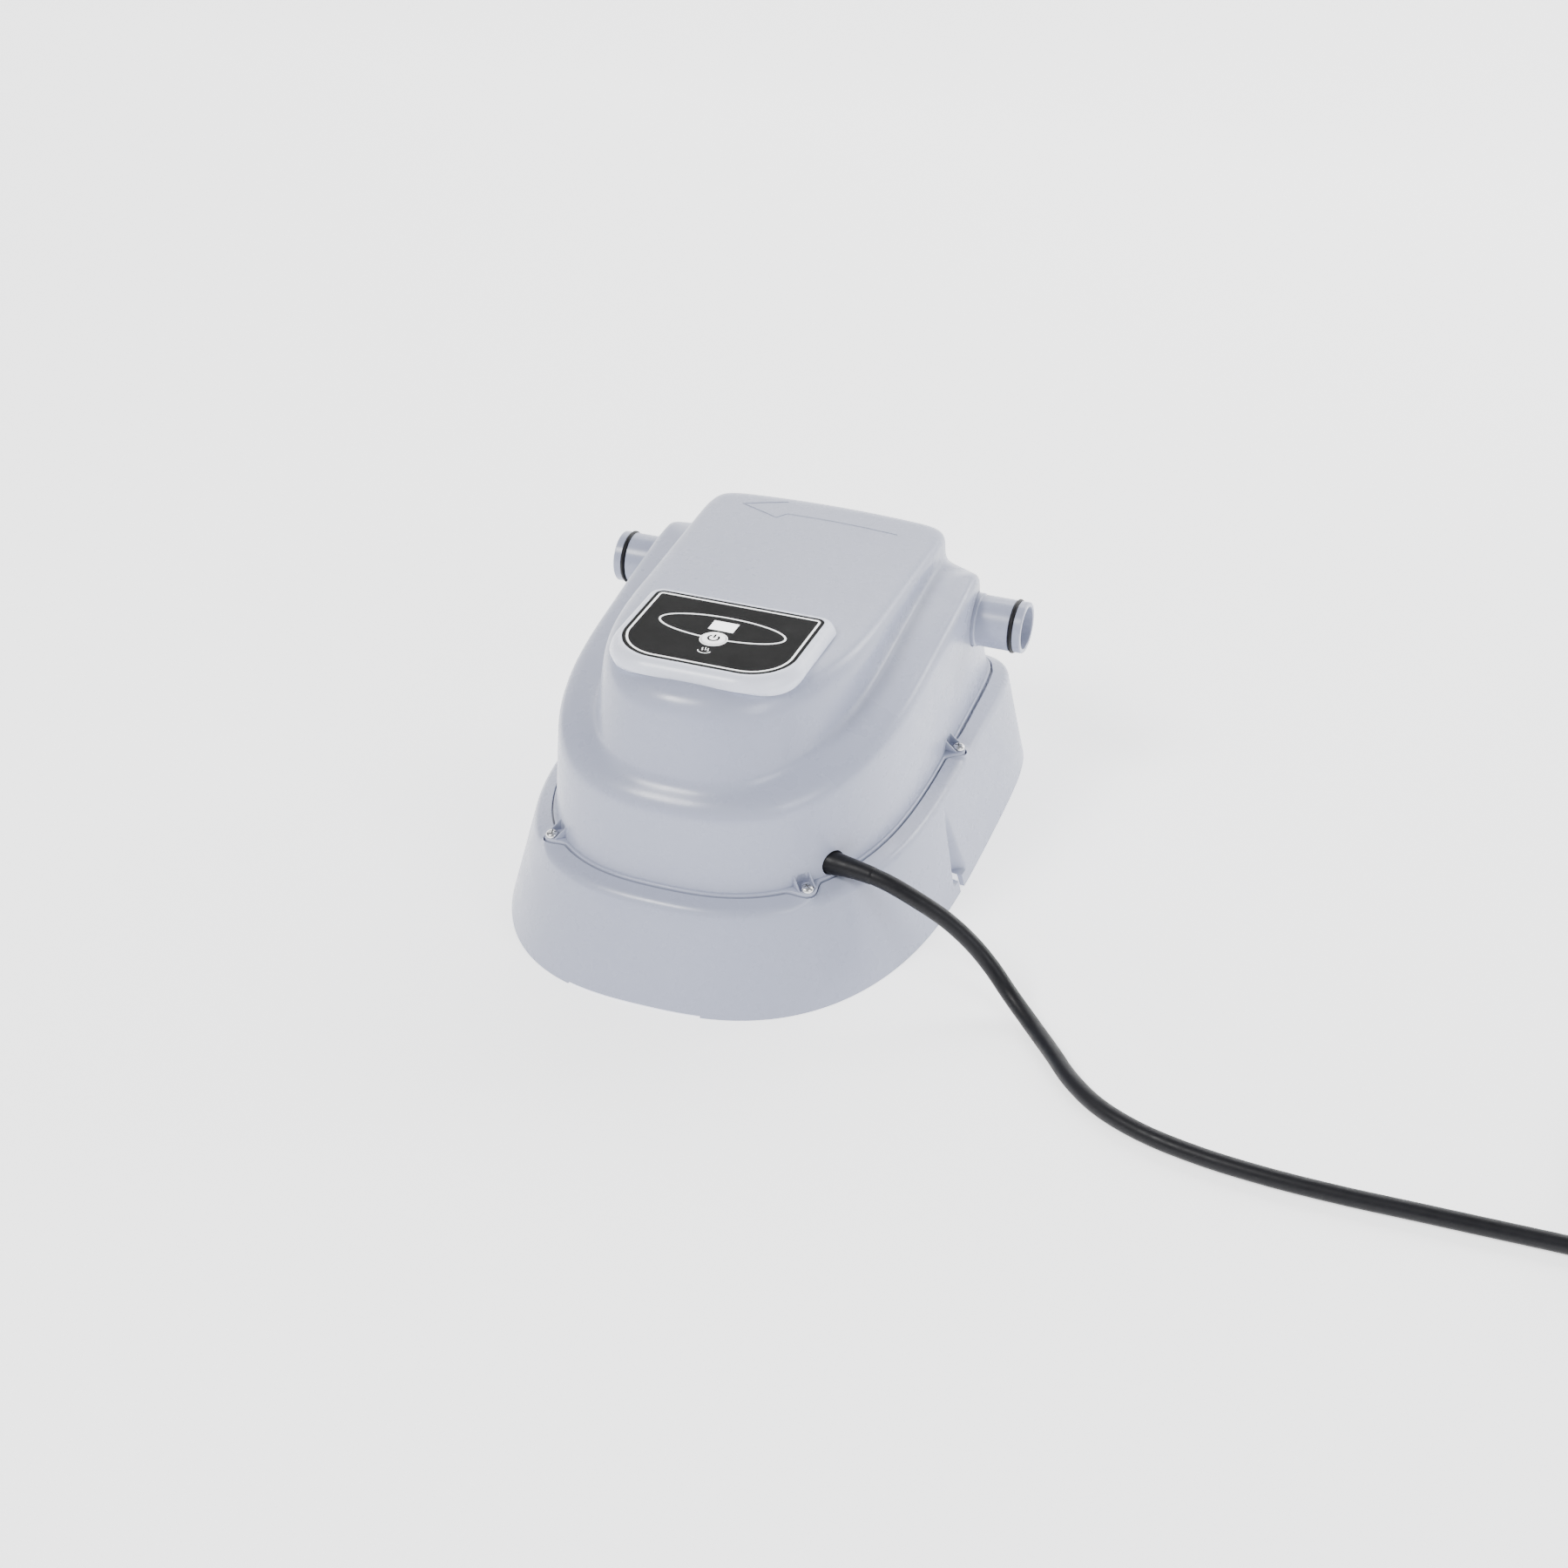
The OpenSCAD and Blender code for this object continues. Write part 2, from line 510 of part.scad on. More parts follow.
module thermal_cutouts() for (x = [-5, 11]) flow_at(x) {
    color("white") translate([0, 0, tube_r]) cylinder(h = 8, r = 7.5, $fn = 32);
    color(steel) translate([0, 0, tube_r + 8]) cylinder(h = 2, r = 3, $fn = 24);
}
module temperature_probe() color(steel) flow_at(probe_x) {
    translate([0, -14, 0]) rotate([90, 0, 0]) cylinder(h = 22, r = 3, $fn = 32);
    translate([0, -31, 0]) rotate([90, 0, 0]) cylinder(h = 4, r = 5.5, $fn = 32);
}
pin_z = 147;
module flow_switch_body() color("gray") difference() {
    union() {
        translate([turret_x, flow_y, flow_z + 31]) cylinder(h = 4, r = 11.5);
        translate([turret_x, flow_y, pin_z + 4]) cylinder(h = flow_z + 31 - pin_z - 4, r = 9);
        for (s = [-1, 1]) translate([turret_x - 3.5, flow_y + s * 6.5 - 1.25, pin_z - 4]) cube([7, 2.5, 9]);
    }
    translate([turret_x, flow_y + 20, pin_z]) rotate([90, 0, 0]) cylinder(h = 40, r = 1.05, $fn = 32);
}
module paddle_pin() color(steel) {
    translate([turret_x, flow_y + 7.6, pin_z]) rotate([90, 0, 0]) cylinder(h = 15.2, r = 1, $fn = 32);
}
module flow_paddle() color("orange") difference() {
    union() {
        translate([turret_x, flow_y + 4.9, pin_z]) rotate([90, 0, 0]) cylinder(h = 9.8, r = 2.6, $fn = 32);
        translate([turret_x - 0.9, flow_y - 4.5, pin_z - 14]) cube([1.8, 9, 13]);
        translate([turret_x, flow_y, pin_z - 24]) rotate([0, 90, 0]) cylinder(h = 1.8, r = 11, center = true, $fn = 48);
    }
    translate([turret_x, flow_y + 20, pin_z]) rotate([90, 0, 0]) cylinder(h = 40, r = 1.05, $fn = 32);
}
module reed_switch() color("black") translate([turret_x, flow_y, flow_z + 35]) {
    translate([-4, -9, 0]) cube([8, 18, 4]);
}

// ---- Wiring ----
module element_leads() color("firebrick") {
    tube([[plug_x, 41.9, 117], [plug_x, 39, 117], [plug_x, 33, 113], [-38, 16, 102], [-30, -2, 97], [-16, -20, 96], [-8, -34, 96],
        [-6, -44, 92.5]], 3, 8);
    tube([[plug_x, 41.9, 133], [plug_x, 39, 133], [plug_x, 32, 130], [-32, 12, 116], [-10, -6, 108], [12, -22, 104],
        [20, -34, 99], [22, -44, 92.5]], 3, 8);
}
module supply_leads() color("sienna") {
    for (i = [0:1]) tube([[71, -80 + 13 * i, 81.2], [66, -78 + 12 * i, 86], [54, -76 + 11 * i, 88],
        [44, -76 + 10 * i, 84], [40, -76 + 10 * i, 73.4]], 3, 8);
    tube([[71, -54, 81.2], [72, -48, 86], [70, -38, 85], [66, -30, 80], [64, -28, 77.6]], 3, 8);
}
module board_cable() color("gainsboro") {
    translate([-28, -83, 161.5]) cube([8, 6, 4.5]);
    translate([-71, -57, 71.6]) cube([6, 8, 6]);
    tube([[-24, -80, 163.6], [-34, -78, 157], [-52, -70, 140], [-64, -62, 115], [-68, -55, 90], [-68, -53, 75]], 4, 8);
}
module sensor_lead() color("gray") {
    tube([[probe_x, 64.9, 125], [probe_x, 62, 125], [probe_x, 57, 121], [6, 40, 104], [-10, 20, 84], [-40, -10, 75], [-50, -24, 75],
        [-54, -34, 73.6]], 3, 8);
}

// ---- Lead and its fittings ----
clamp_y = [-117.2, -95.2];
module cord_clamp() color(grey) difference() {
    translate([52, -121, deck_z]) cube([10, 30, 18]);
    translate([57, -106.156, 72]) rotate([0, 90, exit_turn]) cylinder(h = 40, r = cord_d / 2, center = true, $fn = 32);
    for (y = clamp_y) translate([57, y, 60]) cylinder(h = 30, r = 1.7, $fn = 24);
}
module clamp_screws() color(steel) for (y = clamp_y) translate([57, y, 0]) {
    translate([0, 0, deck_z + 1]) cylinder(h = 17, r = 1.5, $fn = 24);
    translate([0, 0, deck_z + 18]) cylinder(h = 2, r = 2.8, $fn = 24);
}
module cord_grommet() color(rubber) translate([88, -111, 72]) rotate([0, 90, exit_turn]) {
    rotate_extrude($fn = 48) polygon([[5.02, -14], [9.5, -14], [9.5, -11.6], [7.4, -11.6], [7.4, 1], [7, 1.8],
        [6.2, 3], [5.6, 15.4], [5.4, 15.9], [5.02, 15.9]]);
}
module cord_tail() color(rubber) {
    tube([[46, -104.438, 72], [67, -107.719, 72], [87.9, -110.984, 72]], cord_d, 10);
}
module mains_cord() color(rubber) {
    tube(cord_route, cord_d, 10);
}
module mains_cord_coil() color(rubber) translate([coil_at[0], coil_at[1], 0]) {
    rotate_extrude($fn = 96) polygon([[coil_r - 15, 4], [coil_r - 11, 0], [coil_r + 11, 0], [coil_r + 15, 4],
        [coil_r + 15, 26], [coil_r + 11, 30], [coil_r - 11, 30], [coil_r - 15, 26]]);
}
module coil_tie() color(dark) translate([coil_at[0], coil_at[1], 0]) rotate([0, 0, 150]) {
    translate([coil_r, 0, 0]) rotate([90, 0, 0]) linear_extrude(6, center = true) difference() {
        translate([-16.3, 0.1]) square([32.6, 31.1]);
        translate([-15.2, -1]) square([30.3, 31.05]);
    }
}
module plug_lead() color(rubber) {
    tube(plug_route, cord_d, 10);
}
module at_plug() {
    translate(plug_route[3]) rotate([0, 0, plug_turn]) rotate([0, 90, 0]) children();
}
module mains_plug() color(rubber) at_plug() difference() {
    rotate_extrude($fn = 48) polygon([[0, 0], [5.6, 0], [7.2, 24], [11, 28], [14, 32], [16, 44],
        [18.4, 50], [18.4, 60], [0, 60]]);
    for (s = [-1, 1]) translate([s * 9.5, 0, 48]) cylinder(h = 20, r = 2.4, $fn = 24);
}
module plug_pins() color(steel) at_plug() for (s = [-1, 1]) translate([s * 9.5, 0, 48]) {
    cylinder(h = 29, r = 2.4, $fn = 24);
    translate([0, 0, 29]) cylinder(h = 2, r1 = 2.4, r2 = 1.2, $fn = 24);
}

base_shell();
top_housing();
housing_gasket();
cover_screws();
panel_bezel();
panel_overlay();
display_window();
power_button();
button_spring();
tact_switch();
display_board();
display_module();
display_screws();
power_board();
board_standoffs();
board_screws();
relays();
transformer();
capacitors();
terminal_block();
earth_stud();
heater_chamber();
chamber_cradles();
chamber_straps();
strap_screws();
inlet_spigot();
outlet_spigot();
spigot_gaskets();
spigot_screws();
inlet_o_ring();
outlet_o_ring();
element_plug();
heating_element();
element_terminals();
thermal_cutouts();
temperature_probe();
flow_switch_body();
paddle_pin();
flow_paddle();
reed_switch();
element_leads();
supply_leads();
board_cable();
sensor_lead();
cord_clamp();
clamp_screws();
cord_grommet();
cord_tail();
mains_cord();
mains_cord_coil();
coil_tie();
plug_lead();
mains_plug();
plug_pins();
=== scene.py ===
"""Flow-through electric pool heater: the visual model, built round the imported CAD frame."""
import bpy
import bmesh
import json
import numpy as np
from math import sin, cos, pi, radians, atan2, hypot
from mathutils import Vector, Matrix
from mathutils.bvhtree import BVHTree


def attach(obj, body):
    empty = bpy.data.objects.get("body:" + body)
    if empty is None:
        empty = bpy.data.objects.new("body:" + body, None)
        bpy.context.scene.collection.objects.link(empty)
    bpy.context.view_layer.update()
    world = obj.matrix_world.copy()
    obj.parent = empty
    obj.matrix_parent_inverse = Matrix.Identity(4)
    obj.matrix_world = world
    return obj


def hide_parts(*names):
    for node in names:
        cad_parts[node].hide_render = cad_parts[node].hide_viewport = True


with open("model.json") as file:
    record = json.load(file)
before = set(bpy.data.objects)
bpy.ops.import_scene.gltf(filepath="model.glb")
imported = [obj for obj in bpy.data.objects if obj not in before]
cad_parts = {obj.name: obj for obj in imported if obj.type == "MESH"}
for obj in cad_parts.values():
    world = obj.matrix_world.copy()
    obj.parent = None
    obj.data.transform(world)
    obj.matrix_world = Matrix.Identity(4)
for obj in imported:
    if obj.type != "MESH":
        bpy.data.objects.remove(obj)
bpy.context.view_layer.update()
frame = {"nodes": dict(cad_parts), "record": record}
nodes = frame["nodes"]
MM = 0.001


# ---------------------------------------------------------------- camera
def make_camera():
    data = bpy.data.cameras.new("camera")
    data.sensor_width = 36.0
    data.lens = 63.98
    data.clip_end = 20.0
    cam = bpy.data.objects.new("camera", data)
    bpy.context.scene.collection.objects.link(cam)
    right = Vector((0.9341, 0.3571, 0.0)).normalized()
    ahead = Vector((-0.3022, 0.7904, -0.5328)).normalized()
    up = right.cross(ahead).normalized()
    ahead = up.cross(right)
    turn = Matrix((right, up, -ahead)).transposed().to_4x4()
    cam.matrix_world = Matrix.Translation((0.5325, -1.3558, 0.9576)) @ turn
    bpy.context.scene.camera = cam


make_camera()


# ---------------------------------------------------------------- helpers
def link(obj):
    bpy.context.scene.collection.objects.link(obj)
    return obj


def mesh_object(name, verts, faces, smooth=True):
    """Vertices in millimetres."""
    me = bpy.data.meshes.new(name)
    me.from_pydata([(x * MM, y * MM, z * MM) for x, y, z in verts], [], faces)
    me.update()
    if smooth:
        me.polygons.foreach_set("use_smooth", [True] * len(me.polygons))
    return link(bpy.data.objects.new(name, me))


def sharpen(obj, degrees):
    obj.data.polygons.foreach_set("use_smooth", [True] * len(obj.data.polygons))
    obj.data.set_sharp_from_angle(angle=radians(degrees))


def apply_modifiers(obj):
    dg = bpy.context.evaluated_depsgraph_get()
    me = bpy.data.meshes.new_from_object(obj.evaluated_get(dg))
    obj.modifiers.clear()
    old = obj.data
    obj.data = me
    bpy.data.meshes.remove(old)


def boolean(obj, cutter, operation="DIFFERENCE"):
    mod = obj.modifiers.new("cut", "BOOLEAN")
    mod.operation = operation
    mod.solver = "EXACT"
    mod.object = cutter
    bpy.context.view_layer.update()
    apply_modifiers(obj)
    bpy.data.objects.remove(cutter)


def rings_mesh(name, rings, closed_ends=(False, False), wrap=False):
    """Rings of equal length, each a list of points, joined into quads."""
    n = len(rings[0])
    verts = [tuple(p) for r in rings for p in r]
    faces = []
    m = len(rings)
    for k in range(m if wrap else m - 1):
        a, b = k * n, ((k + 1) % m) * n
        for i in range(n):
            j = (i + 1) % n
            faces.append((a + i, a + j, b + j, b + i))
    if closed_ends[0]:
        c = np.mean(np.array(rings[0]), axis=0)
        verts.append(tuple(c))
        faces += [((i + 1) % n, i, len(verts) - 1) for i in range(n)]
    if closed_ends[1]:
        c = np.mean(np.array(rings[-1]), axis=0)
        verts.append(tuple(c))
        o = (m - 1) * n
        faces += [(o + i, o + (i + 1) % n, len(verts) - 1) for i in range(n)]
    return verts, faces


def lathe(profile, n=96):
    """Profile of (radius, height) pairs turned round +Z; a zero radius closes the end."""
    rings = []
    for r, h in profile:
        rings.append([(r * cos(2 * pi * i / n), r * sin(2 * pi * i / n), h) for i in range(n)])
    verts = [tuple(p) for r in rings for p in r]
    faces = []
    for k in range(len(rings) - 1):
        a, b = k * n, (k + 1) * n
        for i in range(n):
            j = (i + 1) % n
            faces.append((a + i, a + j, b + j, b + i))
    return verts, faces


def clean(obj, distance=1e-7):
    bm = bmesh.new()
    bm.from_mesh(obj.data)
    bmesh.ops.remove_doubles(bm, verts=bm.verts, dist=distance)
    bmesh.ops.dissolve_degenerate(bm, edges=bm.edges, dist=distance)
    bmesh.ops.recalc_face_normals(bm, faces=bm.faces)
    bm.to_mesh(obj.data)
    bm.free()
    obj.data.update()


def join(name, parts):
    """One object from several, materials kept."""
    base = parts[0]
    bpy.ops.object.select_all(action="DESELECT")
    for o in parts:
        o.select_set(True)
    bpy.context.view_layer.objects.active = base
    bpy.ops.object.join()
    base.name = name
    base.data.name = name
    return base


def paint(obj, material):
    obj.data.materials.clear()
    obj.data.materials.append(material)


def place(obj, body, slot, material, *replaced):
    paint(obj, material)
    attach(obj, body)
    if replaced:
        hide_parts(*replaced)


# ---------------------------------------------------------------- cord route
CORD_D = 10.0
CORD_ROUTE = [(88, -111, 72), (104, -113.5, 72), (120, -115.4, 69.8), (138, -115, 62),
              (155, -112.5, 51), (170, -111, 38), (183, -112, 25), (197, -118, 12.5),
              (214, -132, 6), (232, -152, 5), (248, -171, 5), (268, -188, 5),
              (295, -201, 5), (328, -209, 5), (365, -213, 5), (405, -214, 5),
              (445, -213, 5), (485, -212, 5), (525, -211, 5), (565, -211, 5), (602, -211, 5)]
COIL_AT = (602, -146)
PLUG_ROUTE = [(667, -146, 15), (668.5, -133, 16.6), (672, -120, 18.4), (677, -108, 18.4)]
COIL_TURNS = [(65, 5), (55, 5), (45, 5), (45, 15), (45, 25), (55, 25), (65, 25), (65, 15)]


def coil_points(per_turn=24):
    """Turn by turn: each holds its radius and height, then steps to the next in its last part."""
    pts = []
    stations = COIL_TURNS + [COIL_TURNS[-1]]
    for k, (r, z) in enumerate(COIL_TURNS):
        r2, z2 = stations[k + 1]
        for i in range(per_turn):
            t = i / per_turn
            u = min(1.0, max(0.0, (t - 0.6) / 0.4))
            u = u * u * (3 - 2 * u)
            a = -pi / 2 + 2 * pi * t
            rr = r + (r2 - r) * u
            pts.append((COIL_AT[0] + rr * cos(a), COIL_AT[1] + rr * sin(a), z + (z2 - z) * u))
    r, z = COIL_TURNS[-1]
    for i in range(per_turn // 4):
        a = -pi / 2 + 2 * pi * i / per_turn
        pts.append((COIL_AT[0] + r * cos(a), COIL_AT[1] + r * sin(a), z))
    return pts


def smooth_path(pts, steps):
    """Centripetal Catmull-Rom through every point."""
    p = [Vector(q) for q in pts]
    p = [p[0] * 2 - p[1]] + p + [p[-1] * 2 - p[-2]]
    out = []
    for i in range(1, len(p) - 2):
        a, b, c, d = p[i - 1], p[i], p[i + 1], p[i + 2]
        t0 = 0.0
        t1 = t0 + (b - a).length ** 0.5
        t2 = t1 + (c - b).length ** 0.5
        t3 = t2 + (d - c).length ** 0.5
        for k in range(steps):
            t = t1 + (t2 - t1) * k / steps
            a1 = a * ((t1 - t) / (t1 - t0)) + b * ((t - t0) / (t1 - t0))
            a2 = b * ((t2 - t) / (t2 - t1)) + c * ((t - t1) / (t2 - t1))
            a3 = c * ((t3 - t) / (t3 - t2)) + d * ((t - t2) / (t3 - t2))
            b1 = a1 * ((t2 - t) / (t2 - t0)) + a2 * ((t - t0) / (t2 - t0))
            b2 = a2 * ((t3 - t) / (t3 - t1)) + a3 * ((t - t1) / (t3 - t1))
            out.append(b1 * ((t2 - t) / (t2 - t1)) + b2 * ((t - t1) / (t2 - t1)))
    out.append(p[-2])
    return out


def tube_mesh(name, pts, radius, n=20):
    """A round tube along points, with frames carried along so that it doesn't twist."""
    pts = [Vector(q) for q in pts]
    rings = []
    up = None
    for i, q in enumerate(pts):
        t = (pts[min(i + 1, len(pts) - 1)] - pts[max(i - 1, 0)]).normalized()
        if up is None:
            up = t.orthogonal().normalized()
        up = (up - t * up.dot(t)).normalized()
        side = t.cross(up)
        r = radius(i, len(pts)) if callable(radius) else radius
        rings.append([tuple(q + r * (cos(2 * pi * k / n) * up + sin(2 * pi * k / n) * side)) for k in range(n)])
    verts, faces = rings_mesh(name, rings, (True, True))
    obj = mesh_object(name, verts, faces)
    clean(obj)
    return obj


cord_path = smooth_path(CORD_ROUTE, 6)[:-1] + [Vector(p) for p in coil_points()]
cord_path += smooth_path(PLUG_ROUTE, 6)
lead = tube_mesh("lead", cord_path, CORD_D / 2)


# ---------------------------------------------------------------- materials
def shader(name):
    mat = bpy.data.materials.new(name)
    mat.use_nodes = True
    tree = mat.node_tree
    tree.nodes.clear()
    out = tree.nodes.new("ShaderNodeOutputMaterial")
    bsdf = tree.nodes.new("ShaderNodeBsdfPrincipled")
    tree.links.new(bsdf.outputs["BSDF"], out.inputs["Surface"])
    return mat, tree, bsdf


def noise(tree, coord, scale, detail=4.0, rough=0.55):
    n = tree.nodes.new("ShaderNodeTexNoise")
    n.inputs["Scale"].default_value = scale
    n.inputs["Detail"].default_value = detail
    n.inputs["Roughness"].default_value = rough
    tree.links.new(coord.outputs["Object"], n.inputs["Vector"])
    return n


def ramp(tree, source, stops):
    r = tree.nodes.new("ShaderNodeValToRGB")
    els = r.color_ramp.elements
    while len(els) < len(stops):
        els.new(0.5)
    for e, (pos, col) in zip(els, stops):
        e.position = pos
        e.color = (*col, 1.0) if len(col) == 3 else (col[0], col[0], col[0], 1.0)
    tree.links.new(source, r.inputs["Fac"])
    return r


def shade(colour, factor):
    return tuple(min(1.0, c * factor) for c in colour)


def moulded(name, colour, rough=0.45, spread=0.03, grain=900.0, grain_depth=0.00002, patch=9.0,
            rough_spread=0.05, spec=0.5, coat=0.0, metallic=0.0):
    """Moulded plastic or rubber: slight tone drift, fine grain in the surface, uneven gloss."""
    mat, tree, bsdf = shader(name)
    coord = tree.nodes.new("ShaderNodeTexCoord")
    drift = noise(tree, coord, patch, 3.0)
    tone = ramp(tree, drift.outputs["Fac"], [(0.3, shade(colour, 1 - spread)), (0.7, shade(colour, 1 + spread))])
    tree.links.new(tone.outputs["Color"], bsdf.inputs["Base Color"])
    blot = noise(tree, coord, patch * 7, 5.0)
    gloss = ramp(tree, blot.outputs["Fac"], [(0.3, (rough - rough_spread,)), (0.7, (rough + rough_spread,))])
    tree.links.new(gloss.outputs["Color"], bsdf.inputs["Roughness"])
    fine = noise(tree, coord, grain, 2.0)
    bump = tree.nodes.new("ShaderNodeBump")
    bump.inputs["Strength"].default_value = 1.0
    bump.inputs["Distance"].default_value = grain_depth
    tree.links.new(fine.outputs["Fac"], bump.inputs["Height"])
    tree.links.new(bump.outputs["Normal"], bsdf.inputs["Normal"])
    bsdf.inputs["Specular IOR Level"].default_value = spec
    bsdf.inputs["Metallic"].default_value = metallic
    if coat:
        bsdf.inputs["Coat Weight"].default_value = coat
        bsdf.inputs["Coat Roughness"].default_value = 0.15
    return mat


def metal(name, colour, rough=0.25, scratch=260.0):
    mat, tree, bsdf = shader(name)
    coord = tree.nodes.new("ShaderNodeTexCoord")
    a = noise(tree, coord, scratch, 6.0, 0.65)
    tone = ramp(tree, a.outputs["Fac"], [(0.25, shade(colour, 0.82)), (0.75, shade(colour, 1.08))])
    tree.links.new(tone.outputs["Color"], bsdf.inputs["Base Color"])
    g = ramp(tree, a.outputs["Fac"], [(0.2, (rough + 0.12,)), (0.8, (rough - 0.05,))])
    tree.links.new(g.outputs["Color"], bsdf.inputs["Roughness"])
    bump = tree.nodes.new("ShaderNodeBump")
    bump.inputs["Strength"].default_value = 1.0
    bump.inputs["Distance"].default_value = 0.00001
    tree.links.new(a.outputs["Fac"], bump.inputs["Height"])
    tree.links.new(bump.outputs["Normal"], bsdf.inputs["Normal"])
    bsdf.inputs["Metallic"].default_value = 1.0
    return mat


BODY = moulded("body_plastic", (0.355, 0.38, 0.49), rough=0.28, spread=0.012, grain=700.0, grain_depth=0.00003)
TRIM = moulded("trim_plastic", (0.78, 0.81, 0.93), rough=0.28, spread=0.01, grain=900.0)
FILM = moulded("panel_film", (0.016, 0.016, 0.016), rough=0.7, spec=0.06, spread=0.05, grain=1500.0, grain_depth=0.00001)
PRINT = moulded("panel_print", (0.93, 0.93, 0.93), rough=0.35, spread=0.01, grain=1500.0, grain_depth=0.00001)
SYMBOL = moulded("symbol_print", (0.012, 0.012, 0.012), rough=0.7, spec=0.06, spread=0.05, grain=1500.0, grain_depth=0.00001)
WINDOW = moulded("window_plastic", (0.93, 0.94, 0.95), rough=0.12, spread=0.005, grain=400.0,
                 grain_depth=0.000005, coat=0.5)
BUTTON = moulded("button_plastic", (0.92, 0.93, 0.94), rough=0.3, spread=0.008)
RUBBER = moulded("rubber", (0.008, 0.008, 0.010), rough=0.45, spec=0.22, spread=0.15, grain=650.0, grain_depth=0.00005,
                 patch=22.0, rough_spread=0.07)
# Print, window and button get white emission: a painted glow that brightens them, not a lamp
for glowing_mat, painted_glow in ((PRINT, 0.8), (WINDOW, 1.6), (BUTTON, 1.0)):
    socket = next(n for n in glowing_mat.node_tree.nodes if n.type == "BSDF_PRINCIPLED").inputs
    socket["Emission Color"].default_value = (1, 1, 1, 1)
    socket["Emission Strength"].default_value = painted_glow
STEEL = metal("screw_steel", (0.66, 0.66, 0.67), rough=0.2)
DRAWN = metal("plain_steel", (0.56, 0.57, 0.59), rough=0.3)
BRASS = metal("brass", (0.72, 0.52, 0.22), rough=0.28)
BLACK = moulded("black_plastic", (0.03, 0.03, 0.03), rough=0.45, spread=0.1)
TIE = moulded("tie_plastic", (0.02, 0.02, 0.02), rough=0.4, spread=0.1)
BOARD = moulded("board", (0.02, 0.16, 0.07), rough=0.3, spread=0.12, patch=120.0, coat=0.4)
RELAY = moulded("relay_plastic", (0.05, 0.22, 0.55), rough=0.4)
IVORY = moulded("ivory_plastic", (0.80, 0.78, 0.70), rough=0.4)
CHAMBER = moulded("chamber_plastic", (0.42, 0.43, 0.44), rough=0.5)
INNER = moulded("inner_plastic", (0.16, 0.16, 0.17), rough=0.5)
PADDLE = moulded("paddle_plastic", (0.75, 0.25, 0.04), rough=0.45)
WIRE_RED = moulded("red_wire", (0.42, 0.03, 0.03), rough=0.45)
WIRE_BROWN = moulded("brown_wire", (0.22, 0.10, 0.05), rough=0.45)
WIRE_WHITE = moulded("white_wire", (0.70, 0.70, 0.68), rough=0.45)
WIRE_GREY = moulded("grey_wire", (0.30, 0.30, 0.31), rough=0.45)

BY_SLOT = {"body_plastic": BODY, "trim_plastic": TRIM, "panel_film": FILM, "panel_print": PRINT,
           "symbol_print": SYMBOL, "window_plastic": WINDOW, "button_plastic": BUTTON, "screw_steel": STEEL,
           "plain_steel": DRAWN, "brass": BRASS, "rubber": RUBBER, "black_plastic": BLACK,
           "tie_plastic": TIE, "board": BOARD, "relay_plastic": RELAY, "ivory_plastic": IVORY,
           "chamber_plastic": CHAMBER, "inner_plastic": INNER, "paddle_plastic": PADDLE,
           "red_wire": WIRE_RED, "brown_wire": WIRE_BROWN, "white_wire": WIRE_WHITE, "grey_wire": WIRE_GREY}
for part in frame["record"]["subparts"]:
    holder = nodes[part["node"]]
    holder.data.materials.clear()
    holder.data.materials.append(BY_SLOT[part["material_slot"]])

place(lead, "root", "rubber", RUBBER, "mains_cord", "mains_cord_coil", "plug_lead")


# ---------------------------------------------------------------- shell surfaces, in millimetres
N = 600


def angles():
    """Angles round the outline, closer together at the rear corners and at the fixing grooves."""
    a = np.linspace(0, 2 * pi, 7201)
    w = np.full(len(a), 1.0)
    for middle, spread, extra in ((0.97, 0.13, 2.2), (pi - 0.97, 0.13, 2.2), (-0.065, 0.11, 3.0), (pi + 0.065, 0.11, 3.0)):
        w += extra * np.exp(-(((a - middle + pi) % (2 * pi) - pi) / spread) ** 2)
    total = np.concatenate([[0], np.cumsum((w[1:] + w[:-1]) / 2)])
    return np.interp(np.arange(N) * total[-1] / N, total, a)


ANG = angles()
SKIRT_FOOT = (133.7, 188, 187.64, 2.6, 7, 0.06)
SKIRT_BROW = (118, 169.5, 172, 2.6, 10, 0.04)
SEAM = (108, 159, 162.5, 2.6, 14, 0.075)
TIER_FOOT = (106.4, 157.4, 160.9, 2.6, 14, 0.075)
TIER_EDGE = (105, 152, 134, 2.5, 7.5, 0)
HOOD_FOOT = (77.5, 140.5, 131, 2.7, 16, 0)
HOOD_EDGE = (78, 128, 124, 2.3, 17, 0)
ROOF_Z, FLANGE_Z, LEDGE_Z, DECK_Z, BROW_Z = 177.0, 66.0, 64.5, 62.0, 61.0
EARS = [(79.3, -133.6), (112, 43.6), (60, 165.5)]
EAR_R = 4.4
LUG_Y = -8.0
FLOW_Y, FLOW_Z = 101.0, 125.0


def outline(o, grow=0.0):
    c, s = np.cos(ANG), np.sin(ANG)
    w = o[0] + grow
    l = np.where(s < 0, o[1], o[2]) + grow
    n = np.where(s < 0, o[3], o[4])
    q = ((np.abs(c) / w) ** n + (np.abs(s) / l) ** n) ** (-1 / n)
    y = q * s
    u = np.maximum(0, y / o[2])
    x = q * c * (1 - o[5] * u * u / (u + 0.25))
    return np.stack([x, y], -1)


def at_z(p, z):
    return np.concatenate([p, np.broadcast_to(np.asarray(z, float).reshape(-1, 1), (len(p), 1))], 1)


def rear_fall(y, drop):
    return drop * ease((y - 98) / 38)


def tier_z(y):
    return 142 + 24.5 * (y / 150) - 3 * (y / 150) ** 2 - rear_fall(y, 20)


def foot_z(y):
    return 145 + 22 * (y / 150) - (y / 150) ** 2 - rear_fall(y, 15)


def hood_z(x, y):
    return ROOF_Z + 2 * y / 150 - 3.8 * (x / 75) ** 2


